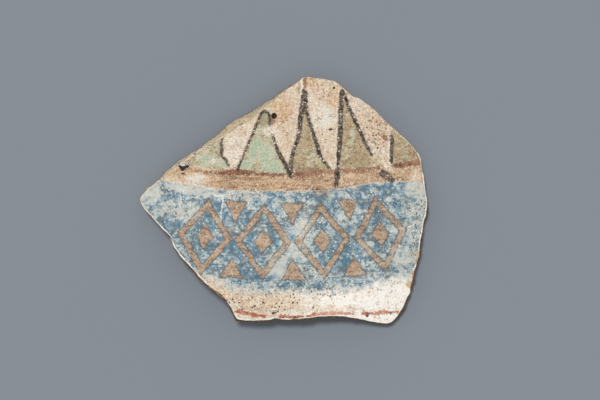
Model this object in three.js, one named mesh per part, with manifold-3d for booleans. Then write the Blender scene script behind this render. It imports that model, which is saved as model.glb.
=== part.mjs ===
// A painted ostracon: a broken piece from the shoulder of a large round jar.
// The painted side faces up (+Z), the jar's neck lay towards +Y.
// Sizes are in millimetres and angles in degrees. Plan positions [x, y] are seen from above.
//
// The jar wall is a surface of revolution whose axis leans back from level.
// Every layer is a shell of that surface, cut to shape by upright prisms.

import * as THREE from 'three';
import { mergeVertices } from 'three/addons/utils/BufferGeometryUtils.js';
import Module from 'manifold-3d';

const wasm = await Module();
wasm.setup();

// Plan size of the whole piece
const sherdWidth = 130.6;
const sherdHeight = 111.6;

// Jar that the piece comes from
const jarProfileRadius = 170;
const jarProfileCentre = -5;
const jarLean = 31;
const crownX = 0.6;
const crownY = -8.4;

// Layers, from the fired clay outwards
const wallThickness = 7.4;
const coatThickness = 0.5;
const fillThickness = 0.2;
const strokeThickness = 0.2;
const filmGap = 0.1;

// Break round the edge
const breakRoughness = 0.45;
const coatSetback = 0.35;
const paintSetback = 0.35;
const paintClearance = 0.3;
const restWear = 0.6;

// Brush work
const petalStrokeWidth = 1.8;
const borderLineWidth = 1.7;
const lozengeStrokeWidth = 2.5;
const lozengeHeight = 34;
const lozengeWidth = 25;
const lozengeHeartHeight = 11;
const lozengeHeartWidth = 8;
const lozengeGap = 1.5;
const halfLozengeHeight = 9;
const halfLozengeWidth = 10;
const chainShift = 4;
const chainMargin = 11.3;
const chainLatitude = 27.6;

// Pits in the wall
const roundPitDiameter = 2.7;
const roundPitDepth = 2.4;
const crustPitDiameter = 5.6;
const crustPitDepth = 1.3;
const crustThickness = 0.7;
const crustClearance = 0.3;

// Chips at the right edge, from the top down
const upperChipDiameter = 4.8;
const middleChipDiameter = 3.8;
const lowerChipDiameter = 4.4;

// Facets
const facetsAroundJar = 160;
const latitudeStep = 2;

const degrees = Math.PI / 180;

// Outline of the whole piece as drawn, clockwise from the left tip
const drawnOutline = [
  [-65.2, 0.5], [-64.2, 2.5], [-62.0, 5.0], [-57.5, 9.2], [-52.5, 14.0],
  [-48.9, 16.9], [-44.4, 20.0], [-37.2, 24.3], [-32.7, 27.7], [-28.2, 31.3],
  [-25.5, 33.8], [-21.5, 36.7], [-14.7, 40.1], [-10.2, 43.0], [-5.7, 45.7],
  [-1.2, 49.5], [3.3, 52.4], [9.1, 55.8], [16.8, 55.1], [23.5, 54.2],
  [27.6, 50.9], [32.1, 47.0], [34.8, 45.9], [39.3, 43.0], [43.8, 38.5],
  [48.3, 34.0], [52.8, 30.2], [57.3, 26.1], [61.3, 21.4], [62.2, 19.1],
  [63.6, 11.9], [64.5, 5.6], [65.4, -0.7], [65.2, -4.4], [62.9, -14.6],
  [62.0, -20.0], [61.3, -26.8], [59.5, -32.2], [57.3, -42.5], [54.8, -47.9],
  [52.3, -52.4], [49.2, -55.4], [47.8, -55.8], [39.3, -54.7], [30.3, -52.7],
  [23.5, -52.3], [16.8, -52.4], [3.3, -53.8], [-3.5, -53.4], [-5.7, -54.2],
  [-12.5, -54.3], [-18.8, -54.2], [-20.6, -53.8], [-22.8, -50.2], [-26.0, -46.1],
  [-29.1, -42.5], [-35.0, -38.5], [-41.3, -30.6], [-45.3, -26.3], [-48.9, -21.8],
  [-51.0, -16.4], [-57.5, -9.9], [-62.0, -5.0], [-64.6, -1.5],
];

// What is drawn is laid out over the named width and height.
const stretchX = sherdWidth / drawnSpan(0);
const stretchY = sherdHeight / drawnSpan(1);
const outline = placedAll(drawnOutline);

/** How far the drawn outline reaches along one axis. */
function drawnSpan(axis) {
  const values = drawnOutline.map((point) => point[axis]);
  return Math.max(...values) - Math.min(...values);
}

/** Plan position of a drawn point. */
function placed([x, y]) {
  return [x * stretchX, y * stretchY];
}

/** Plan positions of a row of drawn points. */
function placedAll(points) {
  return points.map(placed);
}

// How the break slopes, by direction seen from the crown (0 is +X, turning towards +Y).
// Each row: direction, setback of the painted edge, setback of the under edge.
const breakSlope = [
  [0, 0.3, 2.6], [45, 0.3, 1.8], [80, 0.4, 1.6], [86, 1.6, 0.9], [98, 2.2, 0.4],
  [110, 4.0, 0.2], [122, 3.6, 0.2], [139, 1.4, 0.6], [155, 2.8, 0.3], [170, 1.0, 1.0],
  [200, 0.4, 2.4], [232, 0.9, 2.0], [270, 0.3, 2.8], [315, 0.3, 2.2], [360, 0.3, 2.6],
];

// Borders between the painted zones, left to right
const upperRedLine = [
  [[-38.8, 14.6], [-33.5, 13.6], [-27.2, 12.7]],
  [[-26.2, 12.9], [-20, 12.5], [-14, 12.0], [-7, 11.4], [2.0, 11.0]],
  [[6.6, 11.2], [18, 12.2], [26.2, 13.0], [34, 13.8], [45.4, 14.4]],
  [[48.6, 15.0], [55, 16.1], [60.9, 17.0]],
].map(placedAll);
const lowerRedLine = [
  [[-19.8, -49.9], [-14.7, -50.8], [-7.6, -52.0]],
  [[-1.0, -51.7], [4, -52.2], [8.5, -52.3], [12.3, -51.7]],
  [[16.8, -50.9], [24, -50.6], [31.2, -50.7]],
  [[37.0, -50.7], [39.9, -50.8], [46, -50.2], [51.7, -50.2]],
].map(placedAll);
const ochreTopEdge = placedAll([
  [-70, 18.2], [-52, 15.4], [-38, 13.4], [-15, 11.0], [8, 10.1], [26, 11.8], [45, 13.2], [70, 16.8],
]);
const ochreLowEdge = placedAll([
  [-70, 12.6], [-50, 8.4], [-29, 4.8], [-16, 4.3], [8, 4.2], [26, 5.2], [37, 7.4], [46, 8.8], [70, 9.4],
]);
const blueLowEdge = placedAll([
  [-70, -22], [-34, -31.8], [-27, -36.7], [-18, -37.8], [-5, -40.5], [10, -39.6], [28, -37.8], [46, -36.0], [70, -33],
]);

// Places where the blue paint has worn through to the white ground
const wornPatches = [
  [[-66, 8], [-54, 7], [-52.5, -2], [-56, -9], [-66, -12]],
  [[-50, 0.5], [-43, 1.5], [-36.5, 0], [-38, -6], [-44, -9.5], [-49.5, -7]],
  [[5.5, -7.5], [10, -7], [12.6, -11], [11, -16.5], [6.5, -17], [4.2, -12]],
  [[-1.5, -19.5], [6, -18.5], [12, -20.5], [11, -27], [2, -28.5], [-3, -25]],
  [[34, -17.5], [40, -17], [41.5, -22.5], [36.5, -25], [32.8, -22.5]],
  [[56, 1.5], [63, 2.5], [64, -10], [61, -21], [57, -19], [55.5, -8]],
].map(placedAll);

// Chips at the right edge, where coat and paint have come off the clay
const edgeChips = [
  { place: placed([60.6, -26.4]), diameter: upperChipDiameter },
  { place: placed([59.2, -33.6]), diameter: middleChipDiameter },
  { place: placed([56.8, -38.4]), diameter: lowerChipDiameter },
];
const roundPit = placed([-3.8, 37.6]);
const crustPit = placed([-44.6, 14.1]);

// Petals of the upper frieze. The black strokes run from tip to foot.
const petalStrokes = {
  petal_stroke_1_right: [[-26.7, 32.1], [-27.0, 28.0], [-27.1, 20.5], [-25.5, 18.2], [-24.2, 15.2]],
  petal_stroke_2_left: [[-4.6, 35.2], [-6.2, 39.0], [-9.3, 39.2], [-11.1, 34.9], [-14.7, 26.3], [-17.4, 20.0], [-19.7, 14.2]],
  petal_stroke_2_right: [[-4.2, 28.6], [-3.5, 25.9], [-1.2, 20.0], [1.5, 15.5], [3.0, 12.6]],
  petal_stroke_3_left: [[9.6, 53.4], [9.4, 48.4], [8.9, 43.9], [7.9, 36.2], [7.3, 28.1], [5.1, 22.7], [3.9, 17.0], [3.8, 11.9]],
  petal_stroke_3_right: [[10.9, 43.0], [11.4, 39.0], [13.2, 32.6], [15.4, 25.9], [18.0, 18.3], [21.2, 14.8]],
  petal_stroke_4_left: [[26.4, 49.0], [26.1, 40.7], [25.8, 31.7], [25.2, 22.7], [24.6, 14.0]],
  petal_stroke_4_right: [[28.7, 45.5], [29.8, 41.0], [31.2, 38.4], [34.3, 31.3], [37.0, 25.4], [39.8, 20.0]],
  petal_stroke_5_left: [[48.7, 28.6], [48.9, 24.0], [48.7, 16.8]],
  petal_foot_4: [[24.3, 12.0], [23.9, 6.6]],
  petal_foot_5: [[49.2, 12.4], [46.6, 8.6]],
};
const petalFills = {
  petal_fill_1: [[-45, 21.5], [-42, 24], [-34, 28], [-28.6, 30.5], [-28.6, 19.8], [-26.6, 16.2], [-31, 15.2], [-39, 16.8], [-44, 17.6]],
  petal_fill_2: [[-8.2, 37.2], [-5.2, 34.6], [-5.6, 28.8], [-4.6, 24.4], [-1.2, 18.0], [1.2, 13.2], [-8, 12.8], [-17.8, 13.6], [-15.4, 20.2], [-12.6, 27.0], [-9.4, 34.2]],
  petal_fill_3: [[11.2, 45.6], [11.6, 39.6], [13.2, 32.0], [15.2, 25.8], [18.0, 17.6], [19.4, 14.2], [12, 13.2], [5.4, 13.4], [5.5, 17.2], [6.7, 22.6], [8.8, 28.2], [9.4, 36.2], [10.2, 43.6]],
  petal_fill_4: [[27.7, 44.4], [29.1, 39.8], [31.1, 34.2], [34.0, 27.2], [36.8, 22.2], [38.2, 16.2], [32, 15.2], [26.4, 14.8], [27.0, 22.8], [27.4, 31.8], [27.6, 40.6]],
  petal_fill_5: [[50.2, 28.8], [55, 27.0], [60.0, 21.6], [60.6, 18.8], [55, 17.8], [50.4, 17.4], [50.5, 24]],
};

/** Turns a closed three.js geometry into a solid that can be cut and joined. */
function solidOf(geometry) {
  const bare = geometry.index ? geometry.toNonIndexed() : geometry.clone();
  bare.deleteAttribute('normal');
  bare.deleteAttribute('uv');
  const merged = mergeVertices(bare, 1e-4);
  return new wasm.Manifold(new wasm.Mesh({
    numProp: 3,
    vertProperties: new Float32Array(merged.attributes.position.array),
    triVerts: new Uint32Array(merged.index.array),
  }));
}

/** Turns a cut solid back into a named mesh with its own material. */
function meshOf(name, solid, colour, roughness) {
  const cut = solid.getMesh();
  const geometry = new THREE.BufferGeometry();
  geometry.setAttribute('position', new THREE.BufferAttribute(cut.vertProperties, 3));
  geometry.setIndex(new THREE.BufferAttribute(cut.triVerts, 1));
  geometry.computeVertexNormals();
  const material = new THREE.MeshStandardMaterial({ color: colour, roughness, metalness: 0 });
  const mesh = new THREE.Mesh(geometry, material);
  mesh.name = name;
  return mesh;
}

// Crown: the point where the outer clay face lies level. The floor is set further down.
const lean = jarLean * degrees;
const farthest = Math.max(...outline.map(([x, y]) => Math.hypot(x - crownX, y - crownY)));
const shellReach = Math.asin((1.12 * farthest) / jarProfileRadius) / degrees;

/** Closed ring of the jar wall between two distances from the outer clay face. */
function jarShell(outerOffset, innerOffset) {
  const steps = Math.ceil((2 * shellReach) / latitudeStep);
  const profile = [];
  for (let i = 0; i <= steps; i += 1) {
    const latitude = (jarLean - shellReach + i * latitudeStep) * degrees;
    const radius = jarProfileRadius + outerOffset;
    profile.push(new THREE.Vector2(jarProfileCentre + radius * Math.cos(latitude), radius * Math.sin(latitude)));
  }
  for (let i = steps; i >= 0; i -= 1) {
    const latitude = (jarLean - shellReach + i * latitudeStep) * degrees;
    const radius = jarProfileRadius + innerOffset;
    profile.push(new THREE.Vector2(jarProfileCentre + radius * Math.cos(latitude), radius * Math.sin(latitude)));
  }
  profile.push(profile[0].clone());
  const ring = new THREE.LatheGeometry(profile, facetsAroundJar);
  ring.rotateX(lean);
  ring.translate(crownX, crownY + jarProfileCentre * Math.sin(lean), -jarProfileRadius - jarProfileCentre * Math.cos(lean));
  const solid = solidOf(ring);
  return solid.volume() < 0 ? solidOf(flipped(ring)) : solid;
}

/** Copy of a geometry with its faces turned over. */
function flipped(geometry) {
  const turned = geometry.toNonIndexed();
  const points = turned.attributes.position;
  for (let i = 0; i < points.count; i += 3) {
    const a = new THREE.Vector3().fromBufferAttribute(points, i);
    const b = new THREE.Vector3().fromBufferAttribute(points, i + 1);
    points.setXYZ(i, b.x, b.y, b.z);
    points.setXYZ(i + 1, a.x, a.y, a.z);
  }
  return turned;
}

/** How far the outer clay face has dropped below the crown at a plan position. */
function dropAt(x, y) {
  const away = Math.hypot(x - crownX, y - crownY);
  return jarProfileRadius - Math.sqrt(jarProfileRadius ** 2 - away ** 2);
}

/** Setbacks of the painted edge and of the under edge in one direction from the crown. */
function slopeAt(x, y) {
  const turn = Math.atan2(y - crownY, x - crownX) / degrees;
  const direction = (turn + 360) % 360;
  const next = breakSlope.findIndex(([angle]) => angle >= direction);
  const after = breakSlope[Math.max(next, 1)];
  const before = breakSlope[Math.max(next, 1) - 1];
  const share = (direction - before[0]) / (after[0] - before[0]);
  return {
    face: before[1] + share * (after[1] - before[1]),
    under: before[2] + share * (after[2] - before[2]),
  };
}

/** Moves a plan position straight towards the crown. */
function towardsCrown(x, y, distance) {
  const away = Math.hypot(x - crownX, y - crownY);
  const share = 1 - distance / away;
  return [crownX + (x - crownX) * share, crownY + (y - crownY) * share];
}

function shapeOf(points) {
  return new THREE.Shape(points.map(([x, y]) => new THREE.Vector2(x, y)));
}

// Upright prisms reach well above the crown and well below the rim.
const prismTop = 20;
const prismBottom = -(dropAt(...outline[0]) + wallThickness + 30);

/** Upright prism over a plan shape. */
function prism(points) {
  const geometry = new THREE.ExtrudeGeometry(shapeOf(points), { depth: prismTop - prismBottom, bevelEnabled: false });
  geometry.translate(0, 0, prismBottom);
  return solidOf(geometry);
}

/** Smooth line through plan points. */
function smoothLine(points, count) {
  const curve = new THREE.SplineCurve(points.map(([x, y]) => new THREE.Vector2(x, y)));
  return curve.getSpacedPoints(count);
}

/** The same border moved up or down in plan. */
function moved(edge, distance) {
  return edge.map(([x, y]) => [x, y + distance]);
}

/** Prism under one brush stroke, a little narrower at both ends. */
function strokePrism(points, width) {
  const line = smoothLine(points, Math.max(4, 2 * points.length));
  const left = [];
  const right = [];
  line.forEach((point, i) => {
    const before = line[Math.max(i - 1, 0)];
    const after = line[Math.min(i + 1, line.length - 1)];
    const along = after.clone().sub(before).normalize();
    const atEnd = i === 0 || i === line.length - 1;
    const half = (atEnd ? 0.32 : 0.5) * width;
    left.push([point.x - along.y * half, point.y + along.x * half]);
    right.unshift([point.x + along.y * half, point.y - along.x * half]);
  });
  return prism([...left, ...right]);
}

/** Prism between two borders that run left to right. */
function zonePrism(topEdge, lowEdge) {
  const top = smoothLine(topEdge, 18).map((point) => [point.x, point.y]);
  const low = smoothLine(lowEdge, 18).map((point) => [point.x, point.y]);
  return prism([...top, ...low.reverse()]);
}

/** The block that the break leaves, with sloping and slightly uneven sides. */
function breakBlock() {
  const levels = 4;
  const geometry = new THREE.ExtrudeGeometry(shapeOf(outline), { depth: levels, steps: levels, bevelEnabled: false });
  const points = geometry.attributes.position;
  for (let i = 0; i < points.count; i += 1) {
    const x = points.getX(i);
    const y = points.getY(i);
    const level = Math.round(points.getZ(i));
    const slope = slopeAt(x, y);
    const uneven = breakRoughness * Math.sin(1.9 * x + 2.7 * y);
    const underZ = -dropAt(x, y) - wallThickness;
    const faceZ = -dropAt(x, y);
    const setbacks = [slope.under, slope.under, Math.max(0.25 * (slope.under + slope.face) + uneven, 0), slope.face, slope.face];
    const heights = [prismBottom, underZ, 0.45 * underZ + 0.55 * faceZ, faceZ, prismTop];
    const [newX, newY] = towardsCrown(x, y, setbacks[level]);
    points.setXYZ(i, newX, newY, heights[level]);
  }
  return solidOf(geometry);
}

/** Outline of a layer that stops short of the painted edge. */
function layerOutline(setback) {
  return outline.map(([x, y]) => towardsCrown(x, y, slopeAt(x, y).face + setback));
}

/** Ball-ended pit, or a flat crust in a pit, at a plan position on the wall. */
function roundedBlank(place, diameter, depth) {
  const ball = new THREE.SphereGeometry(diameter / 2, 16, 10);
  ball.scale(1, 1, depth / (diameter / 2));
  const [x, y] = place;
  ball.translate(x, y, -dropAt(x, y));
  return solidOf(ball);
}

/** Upright disc over a chip, grown by a margin. */
function chipBlank(chip, margin) {
  const radius = chip.diameter / 2 + margin;
  const disc = new THREE.CylinderGeometry(radius, radius, prismTop - prismBottom, 9);
  disc.rotateX(Math.PI / 2);
  disc.translate(...chip.place, (prismTop + prismBottom) / 2);
  return solidOf(disc);
}

// Heights of the films over the clay
const coatBase = filmGap;
const coatTop = coatBase + coatThickness;
const fillBase = coatTop + filmGap;
const fillTop = fillBase + fillThickness;
const strokeBase = fillTop + filmGap;
const strokeTop = strokeBase + strokeThickness;

const coatShell = jarShell(coatTop, coatBase);
const fillShell = jarShell(fillTop, fillBase);
const strokeShell = jarShell(strokeTop, strokeBase);
const paintEdge = prism(layerOutline(coatSetback + paintSetback));

// Clay wall
const roundPitBlank = roundedBlank(roundPit, roundPitDiameter, roundPitDepth);
const crustPitBlank = roundedBlank(crustPit, crustPitDiameter, crustPitDepth);
const brokenWall = jarShell(0, -wallThickness)
  .intersect(breakBlock())
  .subtract(roundPitBlank)
  .subtract(crustPitBlank);

// The lowest corners of the break are worn flat where the piece rests.
const restLevel = brokenWall.boundingBox().min[2] + restWear;
const floorBox = new THREE.BoxGeometry(4 * farthest, 4 * farthest, -prismBottom);
floorBox.translate(crownX, crownY, restLevel + prismBottom / 2);
const clayWall = brokenWall.subtract(solidOf(floorBox));

// White ground, chipped at the right edge
let whiteGround = coatShell.intersect(prism(layerOutline(coatSetback)));
for (const chip of edgeChips) {
  whiteGround = whiteGround.subtract(chipBlank(chip, 0));
}
whiteGround = whiteGround
  .subtract(roundedBlank(roundPit, roundPitDiameter, roundPitDepth))
  .subtract(roundedBlank(crustPit, crustPitDiameter, crustPitDepth + coatTop));

/** Film of flat colour inside the painted edge. */
function fill(shape) {
  let film = fillShell.intersect(shape).intersect(paintEdge);
  for (const chip of edgeChips) {
    film = film.subtract(chipBlank(chip, paintSetback));
  }
  return film;
}

// Strokes that are already on the piece, each grown by the clearance to the next one
const strokesLaid = [];

/** Brush stroke over the fills, inside the painted edge and clear of the strokes before it. */
function stroke(points, width) {
  let film = strokeShell.intersect(strokePrism(points, width)).intersect(paintEdge);
  for (const laid of strokesLaid) {
    film = film.subtract(laid);
  }
  strokesLaid.push(strokePrism(points, width + 2 * paintClearance));
  return film;
}

/** Ornament film over the fills, inside the painted edge. */
function ornament(shape) {
  return strokeShell.intersect(shape).intersect(paintEdge);
}

const colours = {
  clay: 0xb08a66,
  ground: 0xd8cbb4,
  ochre: 0xbfa27e,
  blue: 0x7f98a4,
  red: 0x8a5a44,
  black: 0x5c4f46,
  green: 0xb0b297,
  khaki: 0xb3a37c,
  tan: 0xb39170,
  crust: 0xd9d4c8,
};

const sherd = new THREE.Group();
sherd.add(meshOf('clay_wall', clayWall, colours.clay, 0.95));
sherd.add(meshOf('white_ground', whiteGround, colours.ground, 0.85));

// Crust left in the pit at the left
const crustBlank = roundedBlank(crustPit, crustPitDiameter - 2 * crustClearance, crustPitDepth - crustClearance);
const crustLid = jarShell(crustThickness - crustPitDepth + crustClearance, -2 * crustPitDepth);
sherd.add(meshOf('lime_crust', crustBlank.intersect(crustLid), colours.crust, 0.95));

// Painted zones
const painted = new THREE.Group();
const crustHollow = roundedBlank(crustPit, crustPitDiameter + 2 * crustClearance, crustPitDepth + strokeTop);
const ochreBand = fill(zonePrism(ochreTopEdge, ochreLowEdge)).subtract(crustHollow);
painted.add(meshOf('ochre_band', ochreBand, colours.ochre, 0.85));
let blueBand = fill(zonePrism(moved(ochreLowEdge, -paintClearance), blueLowEdge));
for (const patch of wornPatches) {
  blueBand = blueBand.subtract(prism(patch));
}
painted.add(meshOf('blue_band', blueBand, colours.blue, 0.85));
const belowPetals = zonePrism(moved(ochreTopEdge, paintClearance), blueLowEdge);
for (const [name, points] of Object.entries(petalFills)) {
  const colour = name === 'petal_fill_1' || name === 'petal_fill_2' ? colours.green : colours.khaki;
  const petal = fill(prism(placedAll(points))).subtract(belowPetals).subtract(crustHollow);
  painted.add(meshOf(name, petal, colour, 0.85));
}
sherd.add(painted);

// Brush lines
const lines = new THREE.Group();
upperRedLine.forEach((points, i) => {
  const name = `upper_red_line_${i + 1}`;
  lines.add(meshOf(name, stroke(points, borderLineWidth), colours.red, 0.85));
});
lowerRedLine.forEach((points, i) => {
  const name = `lower_red_line_${i + 1}`;
  lines.add(meshOf(name, stroke(points, borderLineWidth), colours.red, 0.85));
});
for (const [name, points] of Object.entries(petalStrokes)) {
  lines.add(meshOf(name, stroke(placedAll(points), petalStrokeWidth), colours.black, 0.85));
}
sherd.add(lines);

/** Plan position of a point on the chain: millimetres along the jar's girth and up its side. */
function onChain(along, up) {
  const girthRadius = jarProfileCentre + jarProfileRadius * Math.cos(chainLatitude * degrees);
  const turn = along / girthRadius;
  const latitude = chainLatitude * degrees + up / jarProfileRadius;
  const radius = jarProfileCentre + jarProfileRadius * Math.cos(latitude);
  const height = jarProfileRadius * Math.sin(latitude);
  const x = crownX + radius * Math.sin(turn);
  const y = crownY + jarProfileCentre * Math.sin(lean) + height * Math.cos(lean) - radius * Math.cos(turn) * Math.sin(lean);
  return [x, y];
}

/** Prism over a lozenge of the chain. */
function lozengePrism(along, up, width, height) {
  return prism([
    onChain(along, up + height / 2),
    onChain(along + width / 4, up + height / 4),
    onChain(along + width / 2, up),
    onChain(along + width / 4, up - height / 4),
    onChain(along, up - height / 2),
    onChain(along - width / 4, up - height / 4),
    onChain(along - width / 2, up),
    onChain(along - width / 4, up + height / 4),
  ]);
}

// Chain of lozenges on the blue band, with half lozenges above and below between them
const chain = new THREE.Group();
const chainLength = sherdWidth - 2 * chainMargin;
const lozengeSpacing = lozengeWidth + lozengeGap;
const lozengeCount = Math.floor((chainLength + lozengeGap) / lozengeSpacing);
const sideLength = Math.hypot(lozengeWidth, lozengeHeight) / 2;
const innerShare = 1 - (4 * lozengeStrokeWidth * sideLength) / (lozengeWidth * lozengeHeight);
for (let i = 0; i < lozengeCount; i += 1) {
  const along = chainShift + (i - (lozengeCount - 1) / 2) * lozengeSpacing;
  const ring = lozengePrism(along, 0, lozengeWidth, lozengeHeight)
    .subtract(lozengePrism(along, 0, lozengeWidth * innerShare, lozengeHeight * innerShare));
  chain.add(meshOf(`lozenge_${i + 1}`, ornament(ring), colours.tan, 0.85));
  const heart = lozengePrism(along, 0, lozengeHeartWidth, lozengeHeartHeight);
  chain.add(meshOf(`lozenge_heart_${i + 1}`, ornament(heart), colours.tan, 0.85));
}
for (let i = 0; i < lozengeCount - 1; i += 1) {
  const along = chainShift + (i - (lozengeCount - 2) / 2) * lozengeSpacing;
  const rise = lozengeHeight / 2;
  const upper = prism([
    onChain(along - halfLozengeWidth / 2, rise),
    onChain(along, rise - halfLozengeHeight),
    onChain(along + halfLozengeWidth / 2, rise),
  ]);
  const lower = prism([
    onChain(along - halfLozengeWidth / 2, -rise),
    onChain(along + halfLozengeWidth / 2, -rise),
    onChain(along, -rise + halfLozengeHeight),
  ]);
  chain.add(meshOf(`half_lozenge_upper_${i + 1}`, ornament(upper), colours.tan, 0.85));
  chain.add(meshOf(`half_lozenge_lower_${i + 1}`, ornament(lower), colours.tan, 0.85));
}
sherd.add(chain);

// The piece stands on the floor, with the middle of its plan at the origin.
sherd.updateMatrixWorld(true);
const extent = new THREE.Box3().setFromObject(sherd, true);
const middle = extent.getCenter(new THREE.Vector3());
sherd.position.set(-middle.x, -middle.y, -extent.min.z);

export default sherd;
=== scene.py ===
"""A painted sherd from the shoulder of a large round jar, lying painted side up.

The jar wall is a surface of revolution that leans back from level. Every piece is drawn
in plan, in millimetres seen from above, and laid on that wall at its own height.
"""

import logging
import math
from collections.abc import Callable, Iterable
from dataclasses import dataclass
from enum import Enum
from functools import partial, reduce

import bmesh
import bpy
import numpy as np
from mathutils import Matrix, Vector


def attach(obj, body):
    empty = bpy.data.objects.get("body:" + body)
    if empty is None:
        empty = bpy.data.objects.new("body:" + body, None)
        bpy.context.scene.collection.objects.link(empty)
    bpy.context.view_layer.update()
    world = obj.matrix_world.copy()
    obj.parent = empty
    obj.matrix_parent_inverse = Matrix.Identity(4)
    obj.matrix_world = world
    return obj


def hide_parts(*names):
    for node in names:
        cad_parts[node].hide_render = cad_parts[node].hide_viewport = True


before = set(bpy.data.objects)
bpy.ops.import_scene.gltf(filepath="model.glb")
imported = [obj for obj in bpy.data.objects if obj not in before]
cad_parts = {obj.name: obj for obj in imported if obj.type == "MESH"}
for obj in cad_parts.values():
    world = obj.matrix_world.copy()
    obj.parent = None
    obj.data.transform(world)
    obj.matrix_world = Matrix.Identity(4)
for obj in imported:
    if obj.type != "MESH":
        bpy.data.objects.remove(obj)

log = logging.getLogger("ostracon")
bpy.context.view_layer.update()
MM = 0.001
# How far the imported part's plan lies from the drawings, in millimetres
PLAN_SHIFT = (-0.182, -0.061)

Point = tuple[float, float]
Points = tuple[Point, ...]
Lines = tuple[tuple[Point, Point, float], ...]
Colour = tuple[int, int, int]
Values = dict[str, np.ndarray]
Field = Callable[[np.ndarray], np.ndarray]


# Plan geometry


def smooth_step(values: np.ndarray, low: float, high: float) -> np.ndarray:
    """Eases values from 0 at low to 1 at high, which may be the smaller of the two."""
    share = np.clip((values - low) / (high - low), 0.0, 1.0)
    return share * share * (3.0 - 2.0 * share)


def rough(xy: np.ndarray, size: float, seed: int) -> np.ndarray:
    """Gives smooth random heights over the plan, the same on every run.

    Args:
        xy: Plan positions, one a row.
        size: Spacing of the bumps in millimetres.
        seed: Which pattern to use.

    Returns:
        Heights between -1 and 1.
    """
    cells, clear_of_zero = 64, 900.0
    table = np.random.default_rng(seed).uniform(-1.0, 1.0, (cells, cells))
    u, v = (xy / size + clear_of_zero).T
    i, j = np.floor(u).astype(int), np.floor(v).astype(int)
    f, g = smooth_step(u - i, 0.0, 1.0), smooth_step(v - j, 0.0, 1.0)
    low, high = (
        table[i % cells, k % cells] * (1 - f) + table[(i + 1) % cells, k % cells] * f for k in (j, j + 1)
    )
    return low * (1 - g) + high * g


def curve_through(points: Points, step: float = 0.8) -> np.ndarray:
    """Draws an even, smooth line through plan points.

    Args:
        points: Points that the line passes.
        step: Spacing of the new points in millimetres.

    Returns:
        Plan positions along the line.
    """
    known = np.array(points, float)
    padded = np.vstack([2 * known[0] - known[1], known, 2 * known[-1] - known[-2]])
    pieces = []
    for k in range(len(known) - 1):
        a, b, c, d = padded[k : k + 4]
        count = max(2, int(np.linalg.norm(c - b) / step))
        t = np.linspace(0.0, 1.0, count, endpoint=False)[:, None]
        bend = 2 * b + (c - a) * t + (2 * a - 5 * b + 4 * c - d) * t**2
        pieces.append(0.5 * (bend + (3 * b - a - 3 * c + d) * t**3))
    pieces.append(known[-1:])
    return np.vstack(pieces)


def line_distance(xy: np.ndarray, line: np.ndarray) -> tuple[np.ndarray, np.ndarray]:
    """Measures how far plan positions lie from a line.

    Args:
        xy: Plan positions, one a row.
        line: Points of the line.

    Returns:
        Distance in millimetres, and the share of the line passed at the nearest point.
    """
    nearest, passed = np.full(len(xy), np.inf), np.zeros(len(xy))
    lengths = np.linalg.norm(np.diff(line, axis=0), axis=1)
    run = 0.0
    for start, end, length in zip(line[:-1], line[1:], lengths):
        along = end - start
        share = np.clip(((xy - start) @ along) / length**2, 0.0, 1.0)
        gap = np.hypot(*(xy - start - share[:, None] * along).T)
        closer = gap < nearest
        nearest[closer] = gap[closer]
        passed[closer] = (run + share[closer] * length) / lengths.sum()
        run += length
    return nearest, passed


def inside_depth(xy: np.ndarray, outline: np.ndarray) -> np.ndarray:
    """Measures how deep plan positions lie inside a closed outline.

    Args:
        xy: Plan positions, one a row.
        outline: Corners of the outline.

    Returns:
        Depth in millimetres, negative outside.
    """
    ring = np.vstack([outline, outline[:1]])
    crossed = np.zeros(len(xy), bool)
    x, y = xy.T
    for (x0, y0), (x1, y1) in zip(ring[:-1], ring[1:]):
        if y0 != y1:
            crossed ^= ((y0 > y) != (y1 > y)) & (x < (x1 - x0) * (y - y0) / (y1 - y0) + x0)
    away, _ = line_distance(xy, ring)
    return np.where(crossed, away, -away)


@dataclass(frozen=True)
class Patch:
    """A soft oval place on the painted face, such as a stain or a worn spot.

    Wide and high are half sizes in millimetres, and turn is in degrees.
    """

    x: float
    y: float
    wide: float
    high: float
    strength: float = 1.0
    turn: float = 0.0

    def amount(self, xy: np.ndarray) -> np.ndarray:
        """Gives the patch's strength, which fades to nothing at its border.

        Args:
            xy: Plan positions, one a row.

        Returns:
            Strength at each position.
        """
        fade_from, fade_to = 0.35, 1.45
        cos, sin = math.cos(math.radians(self.turn)), math.sin(math.radians(self.turn))
        dx, dy = xy[:, 0] - self.x, xy[:, 1] - self.y
        away = np.hypot((dx * cos + dy * sin) / self.wide, (dy * cos - dx * sin) / self.high)
        return self.strength * (1.0 - smooth_step(away, fade_from, fade_to))


def patches(*rows: tuple[float, ...]) -> tuple[Patch, ...]:
    """Makes patches from rows of place, half width, half height, strength and turn."""
    return tuple(Patch(*row) for row in rows)


def patch_field(xy: np.ndarray, found: tuple[Patch, ...]) -> np.ndarray:
    """Gives the strongest of several patches at each plan position."""
    return np.max([patch.amount(xy) for patch in found], axis=0)


# The jar and the break


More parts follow.
